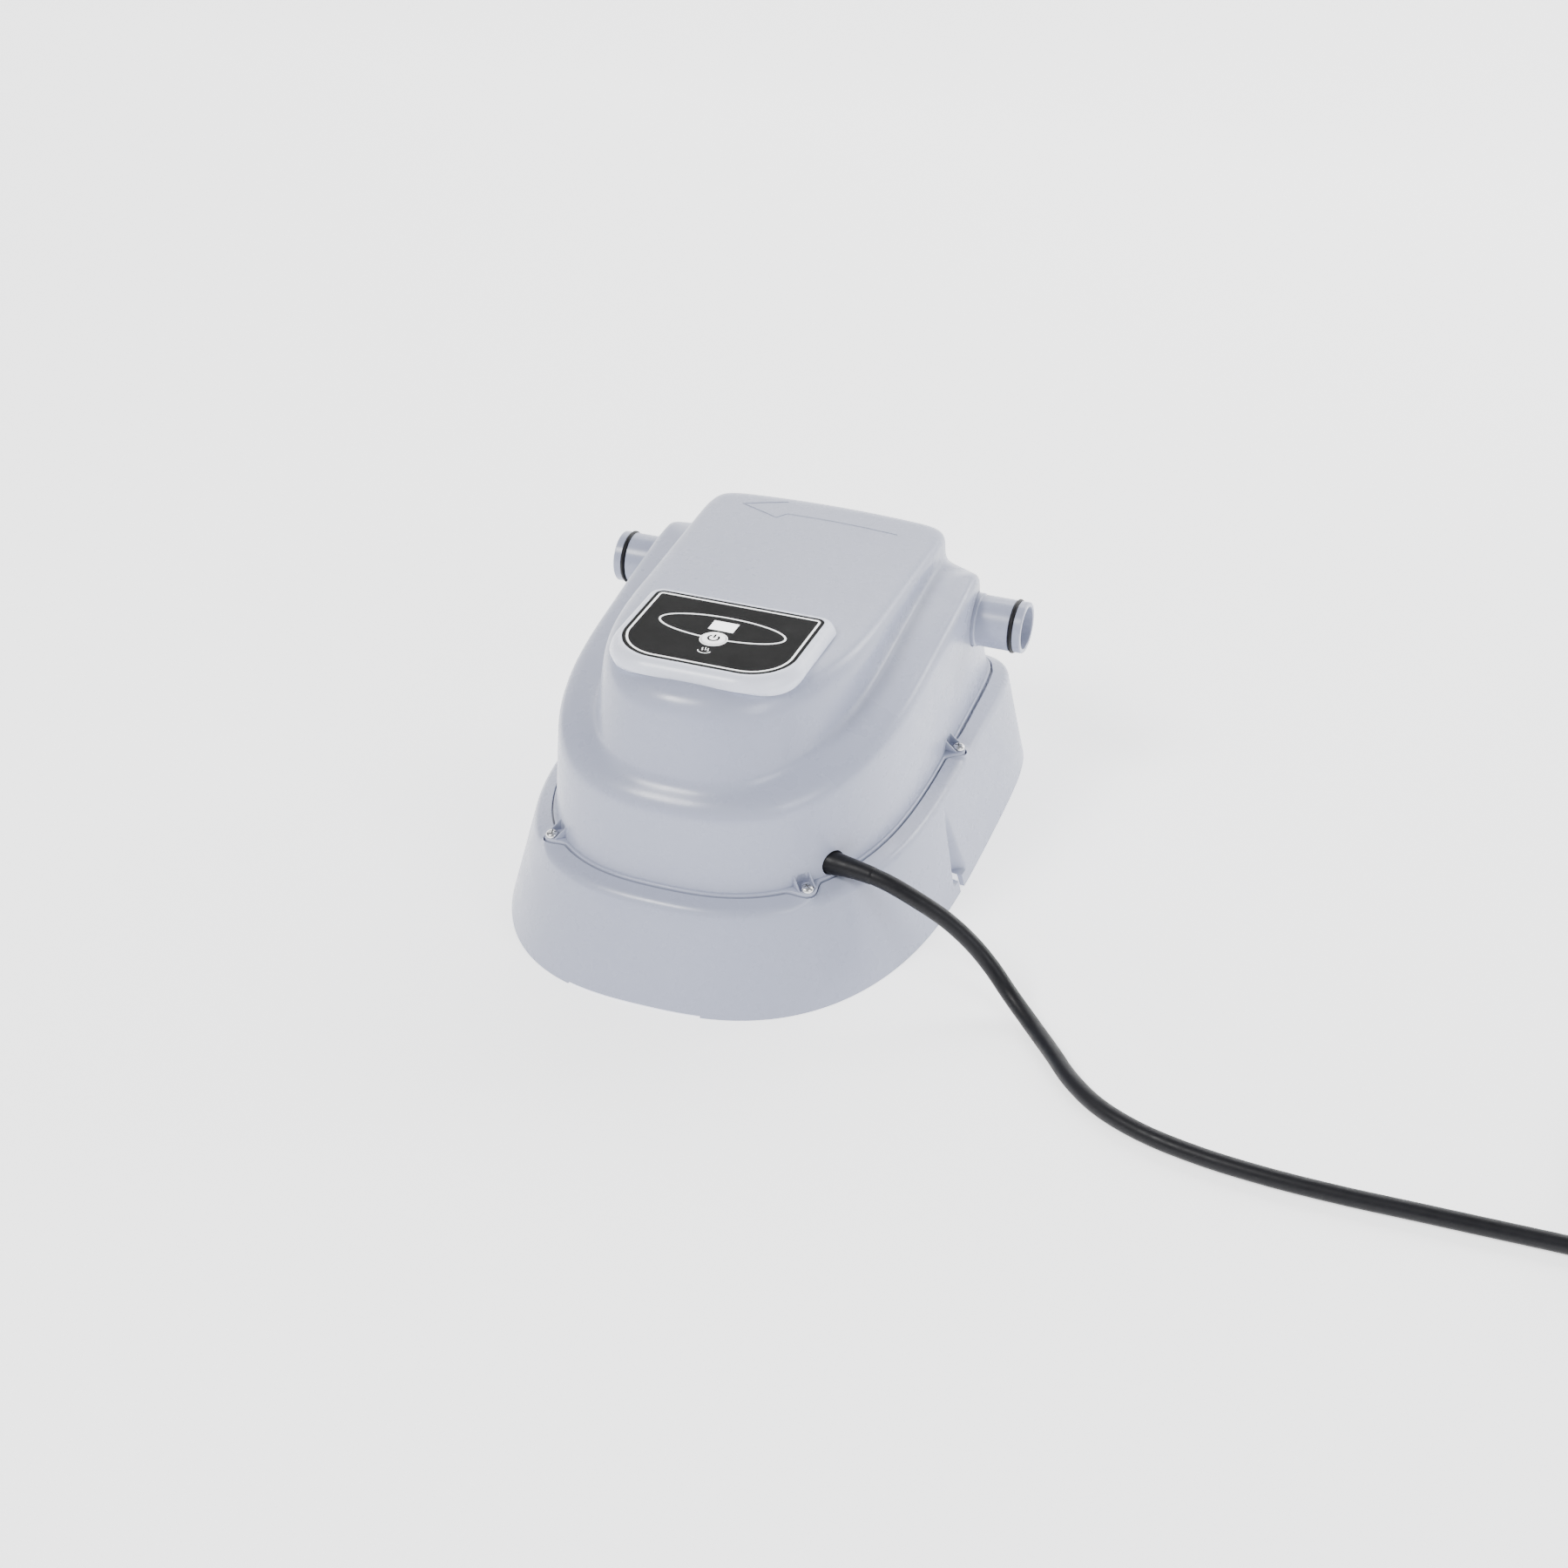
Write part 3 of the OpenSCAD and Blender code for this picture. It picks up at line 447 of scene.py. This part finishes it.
def ease(t):
    u = np.clip(t, 0, 1)
    return u * u * (3 - 2 * u)


def bend(a, b, c, r, n):
    """Rows of a rounded corner b between a and c, cut back by r."""
    la = np.linalg.norm(a - b, axis=1)
    lc = np.linalg.norm(c - b, axis=1)
    k = np.minimum(np.minimum(r, 0.48 * la), 0.48 * lc)
    p = b + (a - b) * (k / la)[:, None]
    q = b + (c - b) * (k / lc)[:, None]
    return [(1 - t) ** 2 * p + 2 * t * (1 - t) * b + t * t * q for t in np.linspace(0, 1, n + 1)]


def cover_rows(d, n_round, inner_rows):
    """The cover's surface, d inside its outer face: rows of N points from the flange to the roof."""
    f, e = outline(TIER_FOOT, -d), outline(TIER_EDGE, -d)
    g, h = outline(HOOD_FOOT, -d), outline(HOOD_EDGE, -d)
    p0 = at_z(f, FLANGE_Z)
    p1 = at_z(e, tier_z(e[:, 1]) - d)
    p2 = at_z(g, foot_z(g[:, 1]) - d)
    reach = np.linalg.norm(h, axis=1)
    cut = 15.0 - d
    inner = h * ((reach - cut) / reach)[:, None]
    zi = hood_z(inner[:, 0], inner[:, 1]) - d
    nudge = h * ((reach - cut - 0.5) / reach)[:, None]
    slope = (zi - (hood_z(nudge[:, 0], nudge[:, 1]) - d)) / 0.5
    p3 = at_z(h, zi + slope * cut)
    p4 = at_z(inner, zi)
    rows = [p0]
    walls = np.linspace(0, 1, 6)[1:-1]
    tier = bend(p0, p1, p2, 9.5 - d, n_round)
    rows += [p0 + (tier[0] - p0) * t for t in walls]
    rows += tier
    foot = bend(p1, p2, p3, 5 + d, n_round)
    rows += [tier[-1] + (foot[0] - tier[-1]) * t for t in (0.25, 0.5, 0.75)]
    rows += foot
    l2 = np.linalg.norm(p2 - p3, axis=1)
    k = np.minimum(cut, 0.48 * l2)
    start = p3 + (p2 - p3) * (k / l2)[:, None]
    rows += [foot[-1] + (start - foot[-1]) * t for t in (0.33, 0.66)]
    m = n_round + 2
    rows += [(1 - t) ** 2 * start + 2 * t * (1 - t) * p3 + t * t * p4 for t in np.linspace(0, 1, m + 1)]
    for t in np.linspace(1, 0, inner_rows + 1)[1:-1]:
        q = inner * t
        rows.append(at_z(q, hood_z(q[:, 0], q[:, 1]) - d))
    return rows


def normals_2d(p):
    t = np.roll(p, -1, 0) - np.roll(p, 1, 0)
    n = np.stack([t[:, 1], -t[:, 0]], -1)
    return n / np.linalg.norm(n, axis=1)[:, None]


def all_ears():
    return [(s * x, y) for x, y in EARS for s in (-1, 1)]


def lobed(grow):
    """The seam's outline with a rounded lobe round each cover screw, and how far each point is pushed."""
    p = outline(SEAM, grow)
    n = normals_2d(p)
    seg = np.linalg.norm(np.roll(p, -1, 0) - p, axis=1)
    s = np.concatenate([[0], np.cumsum(seg)[:-1]])
    total = seg.sum()
    push = np.zeros(N)
    for e in all_ears():
        i = int(np.argmin(np.linalg.norm(p - np.array(e), axis=1)))
        h = float((np.array(e) - p[i]) @ n[i]) + EAR_R + grow
        d = np.abs(s - s[i])
        d = np.minimum(d, total - d) / 12.0
        push = np.maximum(push, h * np.clip(1 - d * d, 0, 1) ** 2)
    return p + n * push[:, None], push


def fan_rows(rows):
    """Rows joined into quads; the fan that closes the last row is added by the caller."""
    pts = [tuple(q) for r in rows for q in r]
    faces = []
    for k in range(len(rows) - 1):
        a, b = k * N, (k + 1) * N
        for i in range(N):
            j = (i + 1) % N
            faces.append((a + i, a + j, b + j, b + i))
    return pts, faces


def closed_shell(name, outer, inner, outer_top, inner_top):
    """Outer and inner rows, joined along their first rows; each ends in a fan to its top point."""
    pts, faces = fan_rows(outer)
    pts.append(outer_top)
    top = len(pts) - 1
    o = (len(outer) - 1) * N
    faces += [(o + i, o + (i + 1) % N, top) for i in range(N)]
    base = len(pts)
    ip, inf = fan_rows(inner)
    pts += ip
    faces += [tuple(base + v for v in reversed(f)) for f in inf]
    pts.append(inner_top)
    top = len(pts) - 1
    o = base + (len(inner) - 1) * N
    faces += [(o + (i + 1) % N, o + i, top) for i in range(N)]
    faces += [(i, base + i, base + (i + 1) % N, (i + 1) % N) for i in range(N)]
    obj = mesh_object(name, pts, faces)
    clean(obj)
    return obj


def prism(name, poly, low, high, bevel=0.0):
    """Upright prism on a polygon given in millimetres."""
    n = len(poly)
    pts = [(x, y, low) for x, y in poly] + [(x, y, high) for x, y in poly]
    faces = [tuple(reversed(range(n))), tuple(range(n, 2 * n))]
    faces += [(i, (i + 1) % n, n + (i + 1) % n, n + i) for i in range(n)]
    obj = mesh_object(name, pts, faces, smooth=False)
    if bevel:
        mod = obj.modifiers.new("bevel", "BEVEL")
        mod.width = bevel * MM
        mod.segments = 3
        apply_modifiers(obj)
    return obj


def cylinder(name, at, axis, length, radius, n=64, radius2=None):
    """A round cutter or boss from a point along an axis, in millimetres."""
    axis = Vector(axis).normalized()
    u = axis.orthogonal().normalized()
    v = axis.cross(u)
    a = Vector(at)
    b = a + axis * length
    r2 = radius if radius2 is None else radius2
    rings = [[tuple(p + r * (cos(2 * pi * k / n) * u + sin(2 * pi * k / n) * v)) for k in range(n)]
             for p, r in ((a, radius), (b, r2))]
    verts, faces = rings_mesh(name, rings, (True, True))
    obj = mesh_object(name, verts, faces, smooth=False)
    clean(obj)
    return obj


# ---------------------------------------------------------------- cover
def build_cover():
    outer = cover_rows(0.0, 10, 7)
    inner = cover_rows(2.8, 4, 3)
    outer = [at_z(outline(TIER_FOOT, 0), 64.0)] + outer
    inner = [at_z(outline(TIER_FOOT, -2.8), 64.0)] + inner
    shell = closed_shell("cover_shell", outer, inner, (0, 0, hood_z(0, 0)), (0, 0, hood_z(0, 0) - 2.8))
    for s in (-1, 1):
        boolean(shell, cylinder("hole", (s * 85, FLOW_Y, FLOW_Z), (s, 0, 0), 40, 17.4, 96))
    boolean(shell, cylinder("cord_hole", (63, -107.1, 72), (0.98796, -0.15437, 0), 50, 7.7, 64))
    for e, out in ear_frames():
        q = e - out * 2.4
        boolean(shell, cylinder("pocket", (q.x, q.y, 65.9), (0, 0, 1), 7.0, 6.3, 40, 5.0))
    sharpen(shell, 32)
    return shell


def build_flange():
    edge, _ = lobed(0.0)
    low, _ = lobed(-0.7)
    inner = outline(TIER_FOOT, -2.0)
    rows = [at_z(edge, 61.0), at_z(edge, 65.3)]
    for t in (0.35, 0.7, 1.0):
        a = t * pi / 2
        q = edge + (low - edge) * (1 - cos(a))
        rows.append(at_z(q, 65.3 + 0.7 * sin(a)))
    rows += [at_z(inner, 66.0), at_z(inner, 61.0)]
    verts, faces = rings_mesh("flange", [list(map(tuple, r)) for r in rows], wrap=True)
    obj = mesh_object("flange", verts, faces)
    clean(obj)
    sharpen(obj, 40)
    return obj


def ear_frames():
    """Each screw's place and the direction out of the wall beside it."""
    seam = outline(SEAM, 0.0)
    n = normals_2d(seam)
    found = []
    for e in all_ears():
        i = int(np.argmin(np.linalg.norm(seam - np.array(e), axis=1)))
        found.append((Vector((e[0], e[1], 0)), Vector((n[i][0], n[i][1], 0))))
    return found


def build_fins():
    """Two small upright fins beside each cover screw, running down from the wall to the lobe's edge."""
    made = []
    for c, out in ear_frames():
        along = Vector((-out.y, out.x, 0))
        for s in (-1, 1):
            foot = c + along * (s * 5.0)
            prof = [(-10, 65.6), (0.4, 65.6), (0.6, 66.4), (-4.2, 70.4), (-8.0, 74.2), (-10, 74.2)]
            w = 0.45
            a = [tuple(foot + out * r + along * (-w) + Vector((0, 0, z))) for r, z in prof]
            b = [tuple(foot + out * r + along * w + Vector((0, 0, z))) for r, z in prof]
            k = len(prof)
            faces = [tuple(range(k)), tuple(reversed(range(k, 2 * k)))]
            faces += [(j, k + j, k + (j + 1) % k, (j + 1) % k) for j in range(k)]
            fin = mesh_object("fin", a + b, faces, smooth=False)
            clean(fin)
            mod = fin.modifiers.new("bevel", "BEVEL")
            mod.width = 0.3 * MM
            mod.segments = 2
            apply_modifiers(fin)
            sharpen(fin, 40)
            made.append(fin)
    return made


def surface_finder(obj):
    tree = BVHTree.FromPolygons([v.co for v in obj.data.vertices], [p.vertices[:] for p in obj.data.polygons])

    def height(x, y):
        hit = tree.ray_cast(Vector((x * MM, y * MM, 0.3)), Vector((0, 0, -1)))[0]
        return hit.z / MM
    return height


def build_arrow():
    """Raised outline of a flow arrow on the roof, pointing to the outlet."""
    tip, barb, root, end = -52.0, -25.0, -20.0, 52.0
    mid, half, wing = 101.0, 5.5, 12.0
    loop = [(end, mid - half), (root, mid - half), (barb, mid - wing), (tip, mid + 1), (barb, mid + wing - 2)]
    pts = []
    for a, b in zip(loop, loop[1:]):
        steps = max(2, int(hypot(b[0] - a[0], b[1] - a[1]) / 2))
        for k in range(steps):
            t = k / steps
            x, y = a[0] + (b[0] - a[0]) * t, a[1] + (b[1] - a[1]) * t
            pts.append((x, y, roof_height(x, y) - 0.1))
    x, y = loop[-1]
    pts.append((x, y, roof_height(x, y) - 0.1))
    return tube_mesh("arrow", pts, 0.5, 10)


cover_shell = build_cover()
roof_height = surface_finder(cover_shell)
cover = join("cover", [cover_shell, build_flange(), build_arrow()] + build_fins())
place(cover, "root", "body_plastic", BODY, "top_housing")


# ---------------------------------------------------------------- base
SKIRT_STEPS = [0.0, 0.012, 0.07, 0.118, 0.126, 0.15, 0.2, 0.27, 0.35, 0.44, 0.54, 0.65, 0.77, 0.89]


def grooved(row, behind=0.0):
    """A ring of the skirt, pressed in at each fixing groove: a soft fan that ends on a ledge near the floor."""
    out = row.copy()
    for s in (-1, 1):
        depth = np.maximum(0, row[:, 0] * s - (121.0 - behind))
        half = 1.5 + 1.05 * depth
        across = np.clip(np.abs(row[:, 1] - LUG_Y) / np.maximum(half, 0.1), 0, 1)
        shape = 0.5 + 0.5 * np.cos(pi * across)
        on = (row[:, 0] * s > 100) & (row[:, 2] > 7.45)
        out[:, 0] -= np.where(on, s * depth * shape, 0)
    return out


def build_base():
    foot, brow = outline(SKIRT_FOOT), outline(SKIRT_BROW)
    lip2, push = lobed(0.95)
    gap = 0.7 * ease((lip2[:, 1] - 55) / 12) * ease((150 - lip2[:, 1]) / 6)
    lip2 = lip2 + normals_2d(outline(SEAM, 0.5)) * gap[:, None]
    width = np.linalg.norm(brow - outline(SEAM, 0.5), axis=1)
    lip = at_z(lip2, LEDGE_Z - 0.9 * np.clip(push / width, 0, 1))
    f0, b0 = at_z(foot, 0), at_z(brow, BROW_Z)
    crown = bend(f0, b0, lip, 4.0, 8)
    skirt = [f0 + (crown[0] - f0) * t for t in SKIRT_STEPS]
    rows = [grooved(r) for r in skirt] + [grooved(r) for r in crown]
    rows += [crown[-1] + (lip - crown[-1]) * 0.55]
    rim = lip.copy()
    rim[:, 2] -= 0.25
    n2 = normals_2d(outline(SEAM, 0.5))
    edge = lip.copy()
    edge[:, :2] += n2 * 0.3
    rows += [edge, rim]
    rows += [at_z(lip2, DECK_Z - 0.8)]
    deck = [at_z(lip2 * t, DECK_Z - 0.8) for t in (0.85, 0.4)]
    wall = 3.0
    fi, bi = outline(SKIRT_FOOT, -wall), outline(SKIRT_BROW, -wall)
    under = [grooved(at_z(fi + (bi - fi) * t, 57.0 * t), 3.0) for t in SKIRT_STEPS] + [at_z(bi, 57.0)]
    under += [at_z(bi * t, 57.5) for t in (0.85, 0.4)]
    obj = closed_shell("base_form", rows + deck, under, (0, 0, DECK_Z - 0.8), (0, 0, 57.5))
    for s in (-1, 1):
        boolean(obj, slot_cutter(s))
    relief = prism("relief", [(-50, -200), (34, -200), (34, -160), (-50, -160)], -1, 1.2)
    boolean(obj, relief)
    for x, y in all_ears():
        boolean(obj, cylinder("pilot", (x, y, 50), (0, 0, 1), 20, 1.95, 24))
    sharpen(obj, 30)
    return obj


def slot_cutter(s):
    n = 16
    back = [(126.5 + 3.2 * cos(a), LUG_Y + 3.2 * sin(a)) for a in np.linspace(pi / 2, 3 * pi / 2, n)]
    poly = [(s * x, y) for x, y in back] + [(s * 141, LUG_Y - 3.4), (s * 141, LUG_Y + 3.4)]
    if s < 0:
        poly = poly[::-1]
    return prism("slot", poly, -1, 9)


def build_ribs():
    """Stiffening plates and screw bosses under the deck."""
    made = []
    for x in (-60, 60):
        made.append(prism("rib", [(x - 1.2, -112), (x + 1.2, -112), (x + 1.2, 135), (x - 1.2, 135)], 40, 58.5))
    for y in (-60, 0, 60, 120):
        made.append(prism("rib", [(-105, y - 1.2), (105, y - 1.2), (105, y + 1.2), (-105, y + 1.2)], 40, 58.5))
    for e, out in ear_frames():
        made.append(cylinder("boss", (e.x - out.x, e.y - out.y, 44), (0, 0, 1), 15, 4.6, 40))
    return made


base = join("base", [build_base()] + build_ribs())
place(base, "root", "body_plastic", BODY, "base_shell")


# ---------------------------------------------------------------- panel
PANEL = dict(w=52.5, front=-106.4, back=-31.3, rf=27.0, rb=5.0, z=182.3)


def panel_loop(grow, arc=24):
    """Rounded outline of the panel as a closed loop of points."""
    w, rf, rb = PANEL["w"], PANEL["rf"], PANEL["rb"]
    corners = [((w - rb, PANEL["back"] - rb), rb, 0), ((-w + rb, PANEL["back"] - rb), rb, 90),
               ((-w + rf, PANEL["front"] + rf), rf, 180), ((w - rf, PANEL["front"] + rf), rf, 270)]
    pts = []
    for (cx, cy), r, a0 in corners:
        for k in range(arc + 1):
            a = radians(a0 + 90 * k / arc)
            pts.append((cx + (r + grow) * cos(a), cy + (r + grow) * sin(a)))
    return pts


def bezel_loop(t, arc=24):
    """The bezel's outline between the film's edge (0) and its foot on the hood (1)."""
    w, front, back = 52.5 + 6.5 * t, -106.4 - 8.6 * t, -31.3 + 5.8 * t
    rf, rb = 27.0 + 6.0 * t, 5.0 + 4.0 * t
    corners = [((w - rb, back - rb), rb, 0), ((-w + rb, back - rb), rb, 90),
               ((-w + rf, front + rf), rf, 180), ((w - rf, front + rf), rf, 270)]
    pts = []
    for (cx, cy), r, a0 in corners:
        for k in range(arc + 1):
            a = radians(a0 + 90 * k / arc)
            pts.append((cx + r * cos(a), cy + r * sin(a)))
    return pts


def build_bezel():
    z = PANEL["z"]
    foot = bezel_loop(1.0)
    surface = [roof_height(x, y) for x, y in foot]
    ground = [min(max(g, 175.0), z - 3.0) for g in surface]
    rows = [[(x, y, min(g, 173.0) - 2.0) for (x, y), g in zip(bezel_loop(0.5), surface)]]
    for u in np.linspace(1.0, 0.0, 13):
        rise = (1 - u ** 2.2) ** 0.8
        loop = bezel_loop(0.16 + 0.84 * u)
        rows.append([(x, y, g - 0.1 + (z + 0.1 - g) * rise) for (x, y), g in zip(loop, ground)])
    for t, dz in ((0.05, 0.0), (0.03, -0.15), (0.025, -0.75), (-0.3, -0.75), (-0.3, -3.0)):
        rows.append([(x, y, z + dz) for x, y in bezel_loop(t)])
    verts, faces = rings_mesh("bezel", rows)
    obj = mesh_object("bezel", verts, faces)
    clean(obj)
    sharpen(obj, 45)
    return obj


bezel = build_bezel()
place(bezel, "root", "trim_plastic", TRIM, "panel_bezel")


def ribbon(name, loop, width, z, closed=True, lift=0.06):
    """A printed line: a thin strip centred on a path of points in millimetres."""
    p = np.array(loop, float)
    if closed:
        t = np.roll(p, -1, 0) - np.roll(p, 1, 0)
    else:
        t = np.gradient(p, axis=0)
    n = np.stack([t[:, 1], -t[:, 0]], -1)
    n /= np.linalg.norm(n, axis=1)[:, None]
    h = width / 2
    rows = [p + n * h, p + n * (h - 0.03), p - n * (h - 0.03), p - n * h]
    zs = [z, z + lift, z + lift, z]
    verts = [(q[0], q[1], zz) for r, zz in zip(rows, zs) for q in r]
    m = len(p)
    faces = []
    for k in range(3):
        for i in range(m if closed else m - 1):
            j = (i + 1) % m
            faces.append((k * m + i, k * m + j, (k + 1) * m + j, (k + 1) * m + i))
    obj = mesh_object(name, verts, faces)
    clean(obj)
    return obj


def printed_lines():
    z = PANEL["z"] - 0.1
    made = [ribbon("border", panel_loop(-2.7), 1.35, z)]
    parts = []
    cx, cy, rx, ry = 0.0, -62.0, 38.5, 12.7
    bx, by = 0.0, -75.2
    arc = []
    for k in range(361):
        a = radians(-90 + k)
        x, y = cx + rx * cos(a), cy + ry * sin(a)
        if hypot(x - bx, y - by) > 7.6:
            arc.append((x, y))
    made.append(ribbon("ellipse", arc, 1.2, z, closed=False))
    ring = [(bx + 7.75 * cos(radians(a)), by + 7.75 * sin(radians(a))) for a in range(0, 360, 5)]
    made.append(ribbon("ring", ring, 0.9, z))
    ix, iy = 0.0, -89.6
    for k in (-1, 0, 1):
        wave = [(ix + 1.7 * k + 0.4 * sin(t * 2 * pi), iy + 0.3 + 3.0 * t + (0.6 if k == 0 else 0)) for t in
                np.linspace(0, 1, 15)]
        parts.append(ribbon("wave", wave, 0.6, z, closed=False))
    bowl = [(ix + 3.8 * cos(radians(a)), iy + 0.4 + 2.9 * sin(radians(a))) for a in range(185, 356, 10)]
    parts.append(ribbon("bowl", bowl, 0.65, z, closed=False))
    return made + parts


graphics = join("panel_lines", printed_lines())
place(graphics, "root", "panel_print", PRINT)


def power_symbol():
    bx, by, z = 0.0, -75.2, 183.0
    arc = [(bx + 3.1 * cos(radians(a)), by + 3.1 * sin(radians(a))) for a in range(128, 413, 6)]
    bar = [(bx, by + 0.2 + 3.9 * t) for t in np.linspace(0, 1, 6)]
    return [ribbon("arc", arc, 1.25, z, closed=False), ribbon("bar", bar, 1.25, z, closed=False)]


symbol = join("power_symbol", power_symbol())
place(symbol, "button", "symbol_print", SYMBOL)


# ---------------------------------------------------------------- screws
def screw_heads():
    made = []
    z = FLANGE_Z
    for k, (x, y) in enumerate(all_ears()):
        prof = [(0.0, z - 14), (1.3, z - 13), (1.9, z - 11), (1.9, z), (3.8, z), (3.85, z + 0.25), (3.85, z + 1.0),
                (3.75, z + 1.5), (3.45, z + 2.0), (2.9, z + 2.4), (2.1, z + 2.7), (1.1, z + 2.85), (0.0, z + 2.9)]
        verts, faces = lathe(prof, 48)
        head = mesh_object("head", verts, faces)
        clean(head, 2e-6)
        turn = radians(17 + 31 * k)
        for q in (0, pi / 2):
            a = turn + q
            ux, uy = cos(a), sin(a)
            poly = [(ux * u - uy * v, uy * u + ux * v) for u, v in ((-2.1, -0.42), (2.1, -0.42), (2.1, 0.42),
                                                                   (-2.1, 0.42))]
            boolean(head, prism("recess", poly, z + 1.2, z + 4))
        head.data.transform(Matrix.Translation((x * MM, y * MM, 0)))
        sharpen(head, 35)
        made.append(head)
    return made


screws = join("cover_screw_heads", screw_heads())
place(screws, "root", "screw_steel", STEEL, "cover_screws")


# ---------------------------------------------------------------- strain relief
def build_relief():
    """A slim tapered boot that follows the first bend of the lead."""
    way = Vector((cos(radians(-8.9)), sin(radians(-8.9)), 0))
    start = Vector(CORD_ROUTE[0])
    path = [start + way * k for k in (-14, -13.9, -11.7, -11.6, -6, -2)]
    sizes = [9.2, 9.5, 9.5, 7.2, 7.0, 6.9]
    run, last = 0.0, start
    for q in smooth_path(CORD_ROUTE[:5], 10):
        run += (q - last).length
        last = q
        if run > 25:
            break
        path.append(q)
        t = run / 25
        sizes.append(5.25 + 1.55 * (1 - t) ** 1.7)
    path.append(path[-1] + (path[-1] - path[-2]) * 0.2)
    sizes.append(5.02)
    return tube_mesh("strain_relief", path, lambda i, n: sizes[i], 40)


relief = build_relief()
sharpen(relief, 40)
place(relief, "root", "rubber", RUBBER, "cord_grommet")


# ---------------------------------------------------------------- stage
def build_stage():
    pts = []
    n = 24
    back, r = 2.2, 0.9
    prof = [(-3.0, 0.0), (back - r, 0.0)]
    prof += [(back - r + r * sin(a), r - r * cos(a)) for a in np.linspace(0, pi / 2, n)[1:]]
    prof += [(back, 3.0)]
    for x in (-4.0, 4.0):
        pts += [(x, y, z) for y, z in prof]
    m = len(prof)
    faces = [(i, i + 1, m + i + 1, m + i) for i in range(m - 1)]
    me = bpy.data.meshes.new("floor")
    me.from_pydata([(x, y, z) for x, y, z in pts], [], faces)
    me.polygons.foreach_set("use_smooth", [True] * len(me.polygons))
    floor = link(bpy.data.objects.new("floor", me))
    mat, tree, bsdf = shader("floor_paper")
    coord = tree.nodes.new("ShaderNodeTexCoord")
    drift = noise(tree, coord, 1.5, 2.0)
    tone = ramp(tree, drift.outputs["Fac"], [(0.2, (0.93, 0.93, 0.93)), (0.8, (0.95, 0.95, 0.95))])
    tree.links.new(tone.outputs["Color"], bsdf.inputs["Base Color"])
    bsdf.inputs["Roughness"].default_value = 0.9
    bsdf.inputs["Specular IOR Level"].default_value = 0.1
    bsdf.inputs["Emission Color"].default_value = (1, 1, 1, 1)
    bsdf.inputs["Emission Strength"].default_value = 1.5
    floor.data.materials.append(mat)


def area(name, at, aim, size, power, colour=(1, 1, 1)):
    data = bpy.data.lights.new(name, "AREA")
    data.shape = "RECTANGLE"
    data.size, data.size_y = size
    data.energy = power
    data.color = colour
    lamp = link(bpy.data.objects.new(name, data))
    lamp.location = at
    lamp.rotation_euler = (Vector(aim) - Vector(at)).to_track_quat("-Z", "Y").to_euler()


build_stage()
world = bpy.data.worlds.new("studio")
bpy.context.scene.world = world
world.use_nodes = True
world.node_tree.nodes["Background"].inputs["Color"].default_value = (0.93, 0.95, 1.0, 1.0)
world.node_tree.nodes["Background"].inputs["Strength"].default_value = 0.45
area("key", (-1.1, -1.7, 2.4), (0, 0, 0.08), (0.8, 0.8), 78, (1.0, 0.99, 0.97))
area("fill", (2.0, -1.1, 1.4), (0, 0, 0.08), (1.0, 1.0), 26, (0.95, 0.97, 1.0))
area("back", (0.1, 2.0, 2.0), (0, 0, 0.15), (2.2, 0.7), 24, (1, 1, 1))
area("edge", (1.7, 1.9, 1.0), (0.05, 0.05, 0.13), (0.5, 0.8), 18, (1, 1, 1))
